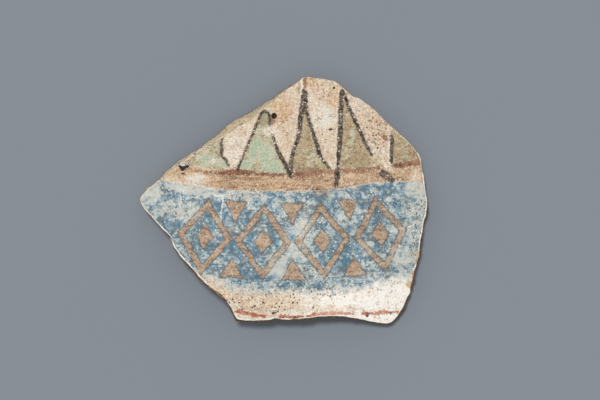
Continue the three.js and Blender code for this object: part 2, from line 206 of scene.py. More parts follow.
@dataclass(frozen=True)
class JarWall:
    """The jar wall that the sherd is a part of.

    The profile is an arc whose centre lies a little beyond the jar's axis. The crown is the
    highest place. Heights are measured from the floor, and the clay's thickness and both
    faces of the slip from the fired clay's outer face.
    """

    profile_radius: float = 170.0
    profile_centre: float = -5.0
    lean: float = math.radians(31.0)
    crown: Point = (0.6, -8.4)
    crown_height: float = 21.09
    thickness: float = 7.4
    coat_base: float = 0.1
    coat_top: float = 0.6
    height_rounds: int = 6

    def local(self, xy: np.ndarray, z: np.ndarray) -> tuple[np.ndarray, np.ndarray, np.ndarray]:
        """Turns points into the jar's own measures.

        Args:
            xy: Plan positions, one a row.
            z: Heights over the floor.

        Returns:
            Girth radius, height up the jar, and the part of the radius that faces up.
        """
        cos, sin = math.cos(self.lean), math.sin(self.lean)
        y = xy[:, 1] - self.crown[1] - self.profile_centre * sin
        rise = z - self.crown_height + self.profile_radius + self.profile_centre * cos
        up = -y * sin + rise * cos
        return np.hypot(xy[:, 0] - self.crown[0], up), y * cos + rise * sin, up

    def height(self, xy: np.ndarray, offset: float = 0.0) -> np.ndarray:
        """Finds the wall's height over plan positions, closer with every round.

        Args:
            xy: Plan positions, one a row.
            offset: Distance outwards from the fired clay.

        Returns:
            Heights over the floor in millimetres.
        """
        cos, sin = math.cos(self.lean), math.sin(self.lean)
        radius = self.profile_radius + offset
        away = np.hypot(*(xy - np.array(self.crown)).T)
        z = self.crown_height - self.profile_radius + np.sqrt(radius**2 - away**2)
        for _ in range(self.height_rounds):
            girth, along, up = self.local(xy, z)
            miss = (girth - self.profile_centre) ** 2 + along**2 - radius**2
            z = z - miss / (2 * (girth - self.profile_centre) * up / girth * cos + 2 * along * sin)
        return z

    def latitude(self, xy: np.ndarray) -> np.ndarray:
        """Gives how far up the jar plan positions lie, in millimetres along its side."""
        _, along, _ = self.local(xy, self.height(xy))
        return self.profile_radius * np.arcsin(along / self.profile_radius)

    def on_chain(self, along: float, up: float, latitude: float) -> Point:
        """Finds the plan position of a point given along the jar's girth and up its side.

        Args:
            along: Millimetres along the girth.
            up: Millimetres up the side.
            latitude: Angle up the jar of the line that both start from, in degrees.

        Returns:
            Plan position.
        """
        base = math.radians(latitude)
        turn = along / (self.profile_centre + self.profile_radius * math.cos(base))
        angle = base + up / self.profile_radius
        radius = self.profile_centre + self.profile_radius * math.cos(angle)
        cos, sin = math.cos(self.lean), math.sin(self.lean)
        y = self.crown[1] + self.profile_centre * sin
        y += self.profile_radius * math.sin(angle) * cos - radius * math.cos(turn) * sin
        return self.crown[0] + radius * math.sin(turn), y

    def place(self, xy: np.ndarray, z: np.ndarray) -> np.ndarray:
        """Turns plan positions and heights into scene positions in metres."""
        return np.column_stack([xy + np.array(PLAN_SHIFT), z]) * MM


OUTLINE: Points = (
    (-65.2, 0.5), (-64.2, 2.5), (-62.0, 5.0), (-59.7, 7.0), (-57.5, 9.2), (-55.2, 11.3),
    (-52.5, 14.0), (-50.7, 15.1), (-48.9, 16.9), (-46.2, 18.9), (-44.4, 20.0), (-41.7, 21.6),
    (-37.2, 24.3), (-35.0, 26.3), (-32.7, 27.7), (-28.2, 31.3), (-26.4, 32.6), (-25.5, 33.8),
    (-23.7, 35.1), (-21.5, 36.7), (-17.0, 38.7), (-14.7, 40.1), (-10.2, 43.0), (-8.0, 44.8),
    (-5.7, 45.7), (-3.5, 47.5), (-1.2, 49.5), (3.3, 52.4), (7.3, 54.5), (9.1, 55.8),
    (12.3, 55.6), (16.8, 55.1), (21.3, 54.6), (23.5, 54.2), (24.9, 53.3), (27.6, 50.9),
    (30.3, 48.6), (32.1, 47.0), (34.8, 45.9), (39.3, 43.0), (43.8, 38.5), (48.3, 34.0),
    (52.8, 30.2), (57.3, 26.1), (59.5, 23.6), (61.3, 21.4), (62.2, 19.1), (62.9, 15.1),
    (63.6, 11.9), (64.5, 5.6), (65.4, -0.7), (65.3, -3.4), (64.2, -8.8), (62.9, -14.6),
    (62.0, -20.0), (61.3, -26.8), (59.5, -32.2), (58.8, -35.8), (57.3, -42.5), (54.8, -47.9),
    (52.3, -52.4), (49.2, -55.4), (47.8, -55.8), (44.7, -55.6), (39.3, -54.7), (34.8, -53.7),
    (30.3, -52.7), (23.5, -52.3), (16.8, -52.4), (12.3, -53.1), (3.3, -53.8), (-1.2, -53.7),
    (-3.5, -53.4), (-5.7, -54.2), (-12.5, -54.3), (-18.8, -54.2), (-20.6, -53.8),
    (-22.8, -50.2), (-26.0, -46.1), (-29.1, -42.5), (-32.7, -40.3), (-35.0, -38.5),
    (-37.7, -35.3), (-41.3, -30.6), (-45.3, -26.3), (-48.9, -21.8), (-50.7, -17.8),
    (-51.0, -16.4), (-53.4, -14.2), (-57.5, -9.9), (-62.0, -5.0), (-63.8, -2.7), (-64.9, -0.9),
)

# Direction from the crown in degrees, setback of the painted edge, setback of the under edge
BREAK_SLOPE: tuple[tuple[float, float, float], ...] = (
    (0, 0.3, 2.6), (45, 0.3, 1.8), (80, 0.4, 1.6), (86, 1.6, 0.9), (98, 2.2, 0.4),
    (110, 4.0, 0.2), (122, 3.6, 0.2), (139, 1.4, 0.6), (155, 2.8, 0.3), (170, 1.0, 1.0),
    (200, 0.4, 2.4), (213, 0.7, 2.2), (220, 1.3, 2.0), (235, 1.5, 2.0), (243, 0.5, 2.4),
    (270, 0.3, 2.8), (315, 0.3, 2.2), (360, 0.3, 2.6),
)


class Side(Enum):
    """A part of the outline, as the directions over which it begins and those where it ends."""

    UPPER = ((5, 25), (184, 176))
    UPPER_LEFT = ((84, 100), (184, 170))
    # Towards the lamp: here the break swells less and gets no painted shade
    LAMP_SIDE = ((2, 28), (202, 184))
    BARED = ((208, 220), (242, 234))


@dataclass(frozen=True)
class BrokenEdge:
    """The broken outline, with the slope of the break all round.

    Count is how many points it has. Raggedness is how far it strays, and coat_setback how
    much further the slip is set back than the clay's painted edge, both in millimetres.
    """

    wall: JarWall
    count: int = 560
    raggedness: float = 0.28
    coat_setback: float = 0.14

    def ring(self) -> np.ndarray:
        """Gives points round the outline.

        Returns:
            Evenly spaced, slightly ragged plan positions.
        """
        corners = np.array(OUTLINE + OUTLINE[:1], float)
        passed = np.concatenate([[0.0], np.cumsum(np.hypot(*np.diff(corners, axis=0).T))])
        marks = np.linspace(0.0, passed[-1], self.count, endpoint=False)
        xy = np.column_stack([np.interp(marks, passed, corners[:, k]) for k in (0, 1)])
        nicks = 0.3 + 0.6 * rough(xy, 3.1, 3) + 0.4 * rough(xy, 1.3, 4)
        return self.towards_crown(xy, self.raggedness * nicks)

    def towards_crown(self, xy: np.ndarray, distance: float | np.ndarray) -> np.ndarray:
        """Moves plan positions straight towards the crown, by a distance in millimetres."""
        out = xy - np.array(self.wall.crown)
        return np.array(self.wall.crown) + out * (1.0 - distance / np.hypot(*out.T))[:, None]

    def turn(self, xy: np.ndarray) -> np.ndarray:
        """Gives the direction of plan positions from the crown, in degrees from 0 to 360."""
        out = xy - np.array(self.wall.crown)
        return np.degrees(np.arctan2(out[:, 1], out[:, 0])) % 360

    def beside(self, xy: np.ndarray, side: Side) -> np.ndarray:
        """Gives 1 in the directions of one side of the outline, and 0 elsewhere."""
        turn, (start, stop) = self.turn(xy), side.value
        return smooth_step(turn, *start) * smooth_step(turn, *stop)

    def slope(self, xy: np.ndarray) -> tuple[np.ndarray, np.ndarray]:
        """Gives the setbacks of the painted edge and of the under edge."""
        turn, (turns, face, under) = self.turn(xy), np.array(BREAK_SLOPE, float).T
        return np.interp(turn, turns, face), np.interp(turn, turns, under)

    def face_depth(self, xy: np.ndarray, extra: float = 0.0) -> np.ndarray:
        """Measures how deep plan positions lie inside the slip's edge, set back by extra more."""
        ring = self.ring()
        return inside_depth(xy, self.towards_crown(ring, self.slope(ring)[0] + self.coat_setback + extra))


# Places on the painted face: middle, half width, half height, then strength and turn where they matter

WORN_BLUE = patches(
    (-62, 3.5, 7, 6.5, 1.2), (-42, 5.6, 13, 2.6, 1, -10), (-45.3, -4.7, 11.2, 5.8, 0.75, -8),
    (-17.9, 1.9, 11.7, 2.4, 0.85), (9.1, -12.8, 5.2, 6.3), (6, -22.7, 7.7, 5.4, 0.85),
    (-1.7, -29.5, 5.4, 7.2, 0.9), (1.2, -3.4, 3.6, 4.5, 0.5), (21.7, -18.2, 6.3, 5, 0.4),
    (26.7, -2, 2.7, 2.2, 0.6), (27.1, -7, 2.4, 2, 0.6), (27.6, -11.9, 2, 2, 0.6),
    (59, -9.7, 5.8, 14.4, 0.65), (53, -14, 5, 4, 0.6), (60, 5.2, 4.6, 3.6, 1.3), (63, -2, 2.6, 4),
    (37, -20.9, 5.4, 4, 0.5), (17.7, -32.6, 9.9, 3.8, 0.5), (-31.8, -34.9, 8.1, 3.2, 0.6, -25),
    (-9.3, -17.8, 4, 3.6, 0.4), (53, -25, 5.4, 5.4, 0.95), (56.8, -33, 3.6, 3.6, 0.8),
    (50.6, -34, 5, 3.2, 0.8), (37, -34.2, 4, 2.4, 0.6), (11.4, -34.2, 4, 2.8, 0.7),
    (47, -4.5, 4, 6.3, 0.3),
)
DEEP_BLUE = patches(
    (-49.8, -10.6, 5, 3.6, 0.8), (-50.4, 0.9, 2, 2, 0.5), (-38.1, -19.1, 4, 8.1, 0.8),
    (-32.3, -7, 4, 3.1, 0.8), (-18.3, -21.4, 15.3, 5.4, 0.8), (-14.7, -33.5, 9, 3.2, 0.8),
    (24, -20.9, 8.1, 8.1, 0.9), (43.8, -7, 3.1, 7.7), (33, -21.4, 3.6, 6.8, 0.7), (17.7, -4, 5, 4, 0.7),
    (48.2, -16.6, 2.8, 3.4, 0.5), (-3.5, -14.6, 4.5, 3.6, 0.6), (-20, -9, 9, 3.2, 0.6),
    (28, -31.2, 7.3, 3.6, 0.7), (47, 3.2, 8, 1.6, 0.6, 6),
)
GREY_BLUE = patches(
    (-20.1, -13.6, 9.9, 3, 0.8), (-12, -6, 14, 2, 0.4), (11, -4.5, 7.3, 4, 0.8), (15.9, 2, 6.3, 3, 0.8),
    (21.3, -23.2, 5.4, 3.6, 0.3), (46.5, -27.7, 4, 3.6, 0.5), (38, 0.5, 3.6, 3.6, 0.6),
)
WORN_OCHRE = patches(
    (-38.5, 9.6, 6.5, 2.8, 0.9), (-40, 5.8, 14, 2.2, 0.9, -10), (-52, 9.6, 5, 2.7, 0.6),
    (60.5, 11, 2.8, 3, 0.9), (34, 8.6, 8, 2.2, 0.15, 4), (59.5, 9.1, 3.6, 2.2, 0.6),
    (30, 10.9, 2, 1.2, 0.5), (48, 14, 2.2, 1.2, 0.8),
)
GREEN_PLACES = patches(
    (-12, 22.7, 2.4, 5.8, 1, -20), (-7.3, 19.4, 3.4, 6.5, 0.75), (-3.7, 14.2, 4.5, 3.2, 0.9),
    (-16.8, 15.6, 2.9, 2.4, 0.9), (-32.7, 17.4, 6.5, 3, 0.6), (-25.6, 16.2, 1.3, 1.6),
    (12.3, 18.7, 3, 4, 0.35), (30.9, 27.7, 1.8, 3.4, 0.4),
)
EDGE_CHIPS = patches(
    (60.4, -25.9, 2.4, 3, 0.9), (59.2, -33.6, 1.6, 1.9, 0.7), (56.8, -38, 1.9, 1.8, 0.8),
)
SMALL_PITS = patches(
    (21.5, 31.6, 1.1, 0.5), (13.6, -47.9, 0.5, 0.5), (44.4, -29.9, 0.5, 0.5), (-37, 23.3, 0.5, 0.5),
    (-39.2, 20.6, 0.9, 0.4), (-4.1, -50.4, 0.9, 0.7), (37.9, -51.6, 0.8, 1), (48.6, -50.9, 0.6, 0.7),
)
# Stains and worn places of the slip, by the name under which its material reads them
STAINS: dict[str, tuple[Patch, ...]] = {
    "white": patches(
        (-21.6, 22.7, 4.6, 9, 0.75), (18.4, 36.9, 5.8, 5, 1.3), (-6, 30.6, 4.3, 2.5, 0.9),
        (-38.5, 9.6, 6.5, 2.8, 0.9), (33, 42.5, 6.8, 4, 0.4, 40), (43.8, 21.6, 3.4, 4.6, 0.3),
        (-16.6, 26.8, 0.8, 3.8, 1, -24), (-30, 28.1, 2.6, 1.8, 0.8, 30), (-40, 5.6, 14, 2.4, 0.8, -10),
        (60, 8, 4, 4.6, 0.9), (-59.7, 1.1, 6.2, 6.3, 0.5), (46.4, -53.3, 6.3, 2.7),
        (21.3, -43.6, 32.5, 4.6, 0.7), (-31.6, 17.6, 4, 3.2, 0.5), (14.5, 20.2, 2.7, 6.3, 0.3, -12),
        (-37, 21.6, 6.5, 4.5, 0.5, 32),
    ),
    "khaki": patches(
        (-16.6, 37.8, 10.2, 2.8, 1, 34), (-33.6, 25.4, 7.2, 3, 0.55, 38), (-5.2, 43.6, 5.4, 2.7, 0.8, 33),
        (-8.2, 36, 2.6, 3.6, 1, -25), (34.5, 17.6, 5.4, 3.4, 0.5), (42, 17.3, 2.6, 2.8, 0.8),
    ),
    "tan": patches(
        (-49, 12.8, 5.2, 2.9, 0.9, 35), (24.9, 47.5, 1.7, 5.9, 0.8, -12), (12.4, 53, 3.4, 2.4, 1.4),
        (45.4, 27.8, 3, 2.6, 0.6), (-0.6, 40.5, 5.4, 6, 0.75), (22.6, 44, 2.2, 4.4, 0.7, -15),
        (0.5, 48.8, 4.5, 1.4, 0.6, 37), (61.6, 8.4, 2.2, 5.4, 0.7), (44.8, 36.2, 6.8, 1.6, 0.5, -42),
        (-36.4, 14.3, 6, 0.9, 0.5, -6),
    ),
    "brown": patches(
        (11.4, 54.6, 4.4, 1, 0.5), (10.1, 53.2, 0.9, 2, 1.5), (9.8, 50.3, 0.5, 0.9, 1.3),
        (-5.2, 35.3, 1.9, 1.9, 1.5), (45.4, 28, 2.4, 2, 0.6), (39.2, 35.6, 0.7, 0.5, 1.1),
        (37, 35, 0.5, 0.4), (42.9, 31.6, 0.8, 0.6), (46, 27.4, 0.9, 0.7, 1.3, 30),
        (43.6, 34.2, 0.5, 0.5, 0.9), (40.6, 16.8, 0.7, 0.5, 0.9), (13, 13.2, 4, 1.5, 0.9),
        (-22.6, 7, 4.6, 1.5, 0.7), (-1.5, 49.2, 6.7, 1, 0.9, 37), (17.7, 3.4, 5.2, 1.8, 0.9),
        (22, 0.6, 4, 1.4, 0.5), (7.8, 50.2, 1.4, 3, 0.4), (-49.4, -17.8, 2.7, 2.1, 0.5, -45),
        (-21.9, 10.1, 3, 1.1, 0.8), (22, 31.6, 1.8, 0.6), (22.4, 29.2, 0.9, 0.4, 0.7, 20),
        (49.6, 24.6, 1.8, 1.2, 0.7), (34.2, 21, 5, 1.1, 0.5, -15), (37.6, 27.2, 1.2, 1, 0.5),
    ),
    "rose": patches(
        (38.7, 31.4, 11.7, 10.9, 0.9), (15.9, 26.3, 5.4, 7.2, 0.4), (1.3, 33.3, 4.9, 9.1, 0.6),
        (-1, 41.7, 4.4, 3.6, 0.5), (19, 48.7, 6.3, 4, 0.6), (-19.8, 22.5, 2.7, 4.5, 0.5),
        (-5.5, -45.2, 14, 4, 0.7),
    ),
    "warm": patches(
        (-6.8, -45.7, 20.7, 3.8, 0.9), (-25, -42.6, 6.1, 2.7, 0.6, -20), (18, -48.8, 22, 2.2, 0.55),
        (20, -41, 20, 2.7, 0.2),
    ),
    "grit": patches(
        (-23.3, 0.6, 5.4, 2.4), (-12.5, 2.2, 5.4, 1.6, 0.7), (10.9, -34.9, 8.6, 4.5),
        (58.2, -11, 6.3, 13, 0.9), (6, -41, 20, 3.4), (-12, -45.8, 17, 3.6, 0.75), (51.4, 10, 3.4, 2.4),
        (40.2, -2, 3.6, 6.3, 0.7), (0.3, -46.4, 13, 4, 0.8), (49, -20, 5.4, 3.6, 0.5), (-50, -9, 8, 5, 0.3),
        (40, 29, 10, 10, 0.35), (54, -52, 5, 2, 0.4),
    ),
    "pit": SMALL_PITS,
}
ROUND_PIT = Patch(-3.8, 37.6, 1.35, 1.35)
DARK_SPECK = Patch(23.1, 50.4, 0.55, 0.55)
CRUST_PIT = Patch(-44.5, 14.3, 2.2, 2.8)
CRUST_OUTLINE: Points = (
    (-48.2, 16.7), (-46.7, 15.0), (-45.7, 13.2), (-45.2, 11.3), (-44.2, 10.9), (-43.5, 12.5), (-42.5, 13.6),
    (-41.8, 15.0), (-41.2, 16.8), (-42.5, 16.9), (-43.6, 17.3), (-45.2, 17.1), (-46.6, 17.3),
)
# Fine white cracks: both ends and the width
SCRATCHES: Lines = (
    ((8.6, 56.4), (8.4, 46.8), 0.36), ((9.0, 34.3), (13.6, 35.2), 0.3),
    ((25.6, 38.3), (31.6, 38.0), 0.3), ((47.9, 28.6), (47.8, 16.4), 0.45),
    ((-26.4, 2.2), (-26.8, -3.2), 0.5), ((-26.8, -3.2), (-27.9, -10.8), 0.36),
    ((48.2, -13.9), (58.2, -11.5), 0.3), ((-30.2, 2.0), (-25.4, 2.4), 0.4),
    ((39.2, 13.2), (47.6, 15.4), 0.25), ((-45.6, 5.6), (-45.2, -1.0), 0.22),
    ((30.6, -47.2), (33.8, -45.0), 0.25),
)
# Fine dark lines in the slip and the ochre, written in the same way
DARK_LINES: Lines = (
    ((-28.0, 10.8), (-20.6, 9.9), 0.3), ((-26.2, 10.3), (-13.3, 8.5), 0.34),
    ((-38.6, 7.2), (-31.6, 6.2), 0.22), ((6.4, 9.2), (16.2, 9.0), 0.26),
    ((6.0, 11.0), (16.0, 10.6), 0.22), ((9.0, 4.9), (26.5, 5.3), 0.34), ((26.5, 5.4), (37.0, 8.4), 0.3),
    ((14.4, 35.9), (17.5, 36.5), 0.2), ((20.4, 36.9), (24.6, 37.9), 0.26),
    ((-21.6, -47.2), (-5.0, -48.4), 0.24), ((-20.2, -48.6), (-2.0, -49.6), 0.24),
    ((-4.0, -47.8), (6.0, -48.3), 0.2),
)

OCHRE_TOP: Points = (
    (-70, 18.2), (-52, 15.4), (-38, 13.4), (-15, 11.0), (8, 10.1), (26, 11.8), (45, 13.2), (70, 16.8),
)
OCHRE_LOW: Points = (
    (-70, 12.6), (-50, 8.4), (-29, 4.8), (-16, 4.3), (8, 4.2), (26, 5.2), (37, 7.4), (46, 8.2), (70, 8.4),
)
BLUE_LOW: Points = (
    (-70, -22), (-34, -33.4), (-27, -37.2), (-18, -39.2), (-5, -39.9), (4, -39.6), (12, -40.2),
    (20, -40.5), (30, -39.5), (38, -37.5), (46, -36.0), (70, -33),
)


def height_of(edge: Points, x: np.ndarray) -> np.ndarray:
    """Gives a painted border's plan height at positions along the sherd."""
    return np.interp(x, *curve_through(edge).T)


# Node trees written as expressions


class Shade:
    """A number or a colour in a material, with Python's own operators."""

    def __init__(self, tree: "Surface", socket: bpy.types.NodeSocket) -> None:
        """Wraps one output socket of a material's tree."""
        self.tree = tree
        self.socket = socket

    def __add__(self, other: "Shade | float") -> "Shade":
        """Adds a value."""
        return self.tree.maths("ADD", self, other)

    __radd__ = __add__

    def __sub__(self, other: "Shade | float") -> "Shade":
        """Takes a value away."""
        return self.tree.maths("SUBTRACT", self, other)

    def __rsub__(self, other: float) -> "Shade":
        """Takes this away from a number."""
        return self.tree.maths("SUBTRACT", other, self)

    def __mul__(self, other: "Shade | float") -> "Shade":
        """Multiplies by a value."""
        return self.tree.maths("MULTIPLY", self, other)

    __rmul__ = __mul__

    def highest(self, *others: "Shade | float") -> "Shade":
        """Gives the largest of several values."""
        return reduce(lambda found, other: self.tree.maths("MAXIMUM", found, other), others, self)

    def size(self) -> "Shade":
        """Gives the value without its sign."""
        return self.tree.maths("ABSOLUTE", self)

    def ease(self, low: float, high: float) -> "Shade":
        """Eases from 0 at low to 1 at high, which may be the smaller of the two."""
        inputs = {"Value": self, "From Min": low, "From Max": high}
        return self.tree.read("ShaderNodeMapRange", {"interpolation_type": "SMOOTHSTEP"}, inputs, "Result")


def photographed(colour: Colour) -> tuple[float, float, float, float]:
    """Turns a colour as it looks, 0 to 255, into the shader's own numbers."""
    linear = [(c / 255 / 12.92) if c <= 10 else ((c / 255 + 0.055) / 1.055) ** 2.4 for c in colour]
    return (*linear, 1.0)


Settings = dict[str, str]
Inputs = dict[str | int, Shade | tuple | float]


class Surface:
    """One material's node tree, whose patterns are all measured in millimetres."""

    def __init__(self, name: str) -> None:
        """Starts a material with one shader.

        Args:
            name: Name of the material.
        """
        self.material = bpy.data.materials.new(name)
        self.material.use_nodes = True
        self.nodes, self.links = self.material.node_tree.nodes, self.material.node_tree.links
        self.nodes.clear()
        self.shader = self.node("ShaderNodeBsdfPrincipled", {}, {"Specular IOR Level": 0.2})
        out = self.node("ShaderNodeOutputMaterial", {}, {})
        self.links.new(self.shader.outputs[0], out.inputs["Surface"])
        self.at = self.vector("SCALE", self.read("ShaderNodeTexCoord", {}, {}, "Object"), scale=1 / MM)

    def node(self, kind: str, settings: Settings, inputs: Inputs) -> bpy.types.Node:
        """Adds a node.

        Args:
            kind: The node's type.
            settings: Its own settings, which are set first.
            inputs: Values or links of its sockets, by name or number.

        Returns:
            The new node.
        """
        node = self.nodes.new(kind)
        for key, value in settings.items():
            setattr(node, key, value)
        for key, value in inputs.items():
            self.feed(node.inputs[key], value)
        return node

    def feed(self, socket: bpy.types.NodeSocket, value: Shade | tuple | float) -> None:
        """Links a value to a socket, or writes a constant there.

        Args:
            socket: Input socket of a node.
            value: What it reads.
        """
        if isinstance(value, Shade):
            self.links.new(value.socket, socket)
        else:
            socket.default_value = value

    def read(self, kind: str, settings: Settings, inputs: Inputs, output: str | int) -> Shade:
        """Adds a node and reads one of its outputs, by name or number."""
        return Shade(self, self.node(kind, settings, inputs).outputs[output])

    def maths(self, operation: str, a: Shade | float, b: Shade | float = 0.0) -> Shade:
        """Adds a Math node on one or two values."""
        return self.read("ShaderNodeMath", {"operation": operation}, {0: a, 1: b}, 0)

    def vector(self, operation: str, a: Shade, b: tuple = (0, 0, 0), scale: float = 1.0) -> Shade:
        """Adds a Vector Math node that gives a vector."""
        inputs = {0: a, "Scale": scale} if operation == "SCALE" else {0: a, 1: b}
        return self.read("ShaderNodeVectorMath", {"operation": operation}, inputs, 0)

    def mix(self, under: Shade | Colour, over: Shade | Colour, share: Shade | float) -> Shade:
        """Mixes two colours, all under where share is 0 and all over where it is 1."""
        a, b = (c if isinstance(c, Shade) else photographed(c) for c in (under, over))
        return self.read("ShaderNodeMix", {"data_type": "RGBA"}, {0: share, 6: a, 7: b}, 2)

    def layered(self, tone: Shade | Colour, *coats: tuple[Shade | Colour, Shade | float]) -> Shade:
        """Lays colours over one another, each by its own share.

        Args:
            tone: The lowest colour.
            coats: Every further colour and how much of it shows.

        Returns:
            The colour seen from outside.
        """
        for colour, share in coats:
            tone = self.mix(tone, colour, share)
        return tone

    def cloud(self, size: float, seed: float, stretch: float = 1.0, detail: float = 2.0) -> Shade:
        """Gives soft random variation.

        Args:
            size: Size of a blotch in millimetres.
            seed: Which pattern to use.
            stretch: How many times longer the blotches are along the jar's girth.
            detail: How many finer layers are in it.

        Returns:
            A value between 0 and 1, with as much above a half as below.
        """
        moved = self.vector("ADD", self.at, (31.7 * seed, 12.3 * seed, 7.9 * seed))
        spread = self.vector("MULTIPLY", moved, (1.0 / stretch, 1.0, 1.0))
        inputs = {"Vector": spread, "Scale": 1.0 / size, "Detail": detail, "Roughness": 0.65}
        return self.read("ShaderNodeTexNoise", {"noise_dimensions": "3D"}, inputs, "Fac").ease(0.3, 0.7)

    def dots(self, cell: float, radius: float, share: float, seed: float) -> Shade:
        """Gives scattered small dots of uneven size and outline.

        Args:
            cell: Mean distance between places for a dot, in millimetres.
            radius: Size of the largest dots in millimetres.
            share: Share of the places that hold a dot.
            seed: Which pattern to use.

        Returns:
            1 inside a dot and 0 elsewhere.
        """
        moved = self.vector("ADD", self.at, (9.1 * seed, 23.7 * seed, 3.3 * seed))
        cells = self.node("ShaderNodeTexVoronoi", {}, {"Vector": moved, "Scale": 1.0 / cell})
        lot = self.node("ShaderNodeSeparateColor", {}, {0: Shade(self, cells.outputs["Color"])})
        size = (Shade(self, lot.outputs[1]) * 0.6 + 0.4) * (radius / cell)
        away = Shade(self, cells.outputs["Distance"]) + (self.cloud(radius * 1.4, seed + 0.5) - 0.5) * 0.16
        return (size - away).ease(-0.05, 0.07) * Shade(self, lot.outputs[0]).ease(share, share - 0.02)

    def lines(self, size: float, width: float, seed: float, stretch: float = 1.0) -> Shade:
        """Gives 1 on thin wandering lines round flakes of a size, and 0 beside them."""
        return (self.cloud(size, seed, stretch) - 0.5).size().ease(width, width * 0.35)

    def spot(self, point: Point) -> tuple[float, float, float]:
        """Gives a plan point's place in the frame."""
        return point[0] + PLAN_SHIFT[0], point[1] + PLAN_SHIFT[1], 0.0

    def round_spot(self, place: Patch, radius: float, soft: float) -> Shade:
        """Gives a round place on the face, seen from above.

        Args:
            place: Where it lies.
            radius: Radius in millimetres.
            soft: Width of its border in millimetres.

        Returns:
            1 inside the place and 0 outside.
        """
        away = self.vector("SUBTRACT", self.at, self.spot((place.x, place.y)))
        flat = self.vector("MULTIPLY", away, (1.0, 1.0, 0.0))
        away = self.read("ShaderNodeVectorMath", {"operation": "LENGTH"}, {0: flat}, "Value")
        return away.ease(radius + soft / 2, radius - soft / 2)

    def along(self, start: Point, way: Point) -> Shade:
        """Measures how far each place lies from a plan point, along one direction."""
        inputs = {0: self.vector("SUBTRACT", self.at, self.spot(start)), 1: (*way, 0.0)}
        return self.read("ShaderNodeVectorMath", {"operation": "DOT_PRODUCT"}, inputs, "Value")

    def drawn(self, strokes: Lines) -> Shade:
        """Draws fine lines, which wander a little.

        Args:
            strokes: Both ends of each line in plan millimetres, and its width.

        Returns:
            1 on a line and 0 beside it.
        """
        wander, found = self.cloud(2.4, 65) - 0.5, []
        for start, end, width in strokes:
            length = math.dist(start, end)
            x, y = (end[0] - start[0]) / length, (end[1] - start[1]) / length
            run = self.along(start, (x, y))
            aside = (self.along(start, (-y, x)) + 0.8 * wander).size().ease(width, 0.3 * width)
            found.append(aside * run.ease(-0.4, 0.4) * run.ease(length + 0.4, length - 0.4))
        return found[0].highest(*found[1:])

    def value(self, name: str) -> Shade:
        """Reads a value stored on the mesh."""
        return self.read("ShaderNodeAttribute", {"attribute_name": name}, {}, "Fac")

    def finish(
        self, colour: Shade | Colour, roughness: Shade, height: Shade, depth: float
    ) -> bpy.types.Material:
        """Connects colour, roughness and relief to the shader.

        Args:
            colour: Base colour.
            roughness: Roughness.
            height: Relief between 0 and 1.
            depth: Depth of the relief in millimetres.

        Returns:
            The finished material.
        """
        bump = self.read("ShaderNodeBump", {}, {"Strength": 1.0, "Distance": depth * MM, "Height": height}, 0)
        colour = colour if isinstance(colour, Shade) else photographed(colour)
        for name, value in (("Base Color", colour), ("Roughness", roughness), ("Normal", bump)):
            self.feed(self.shader.inputs[name], value)
        return self.material


# Finishes


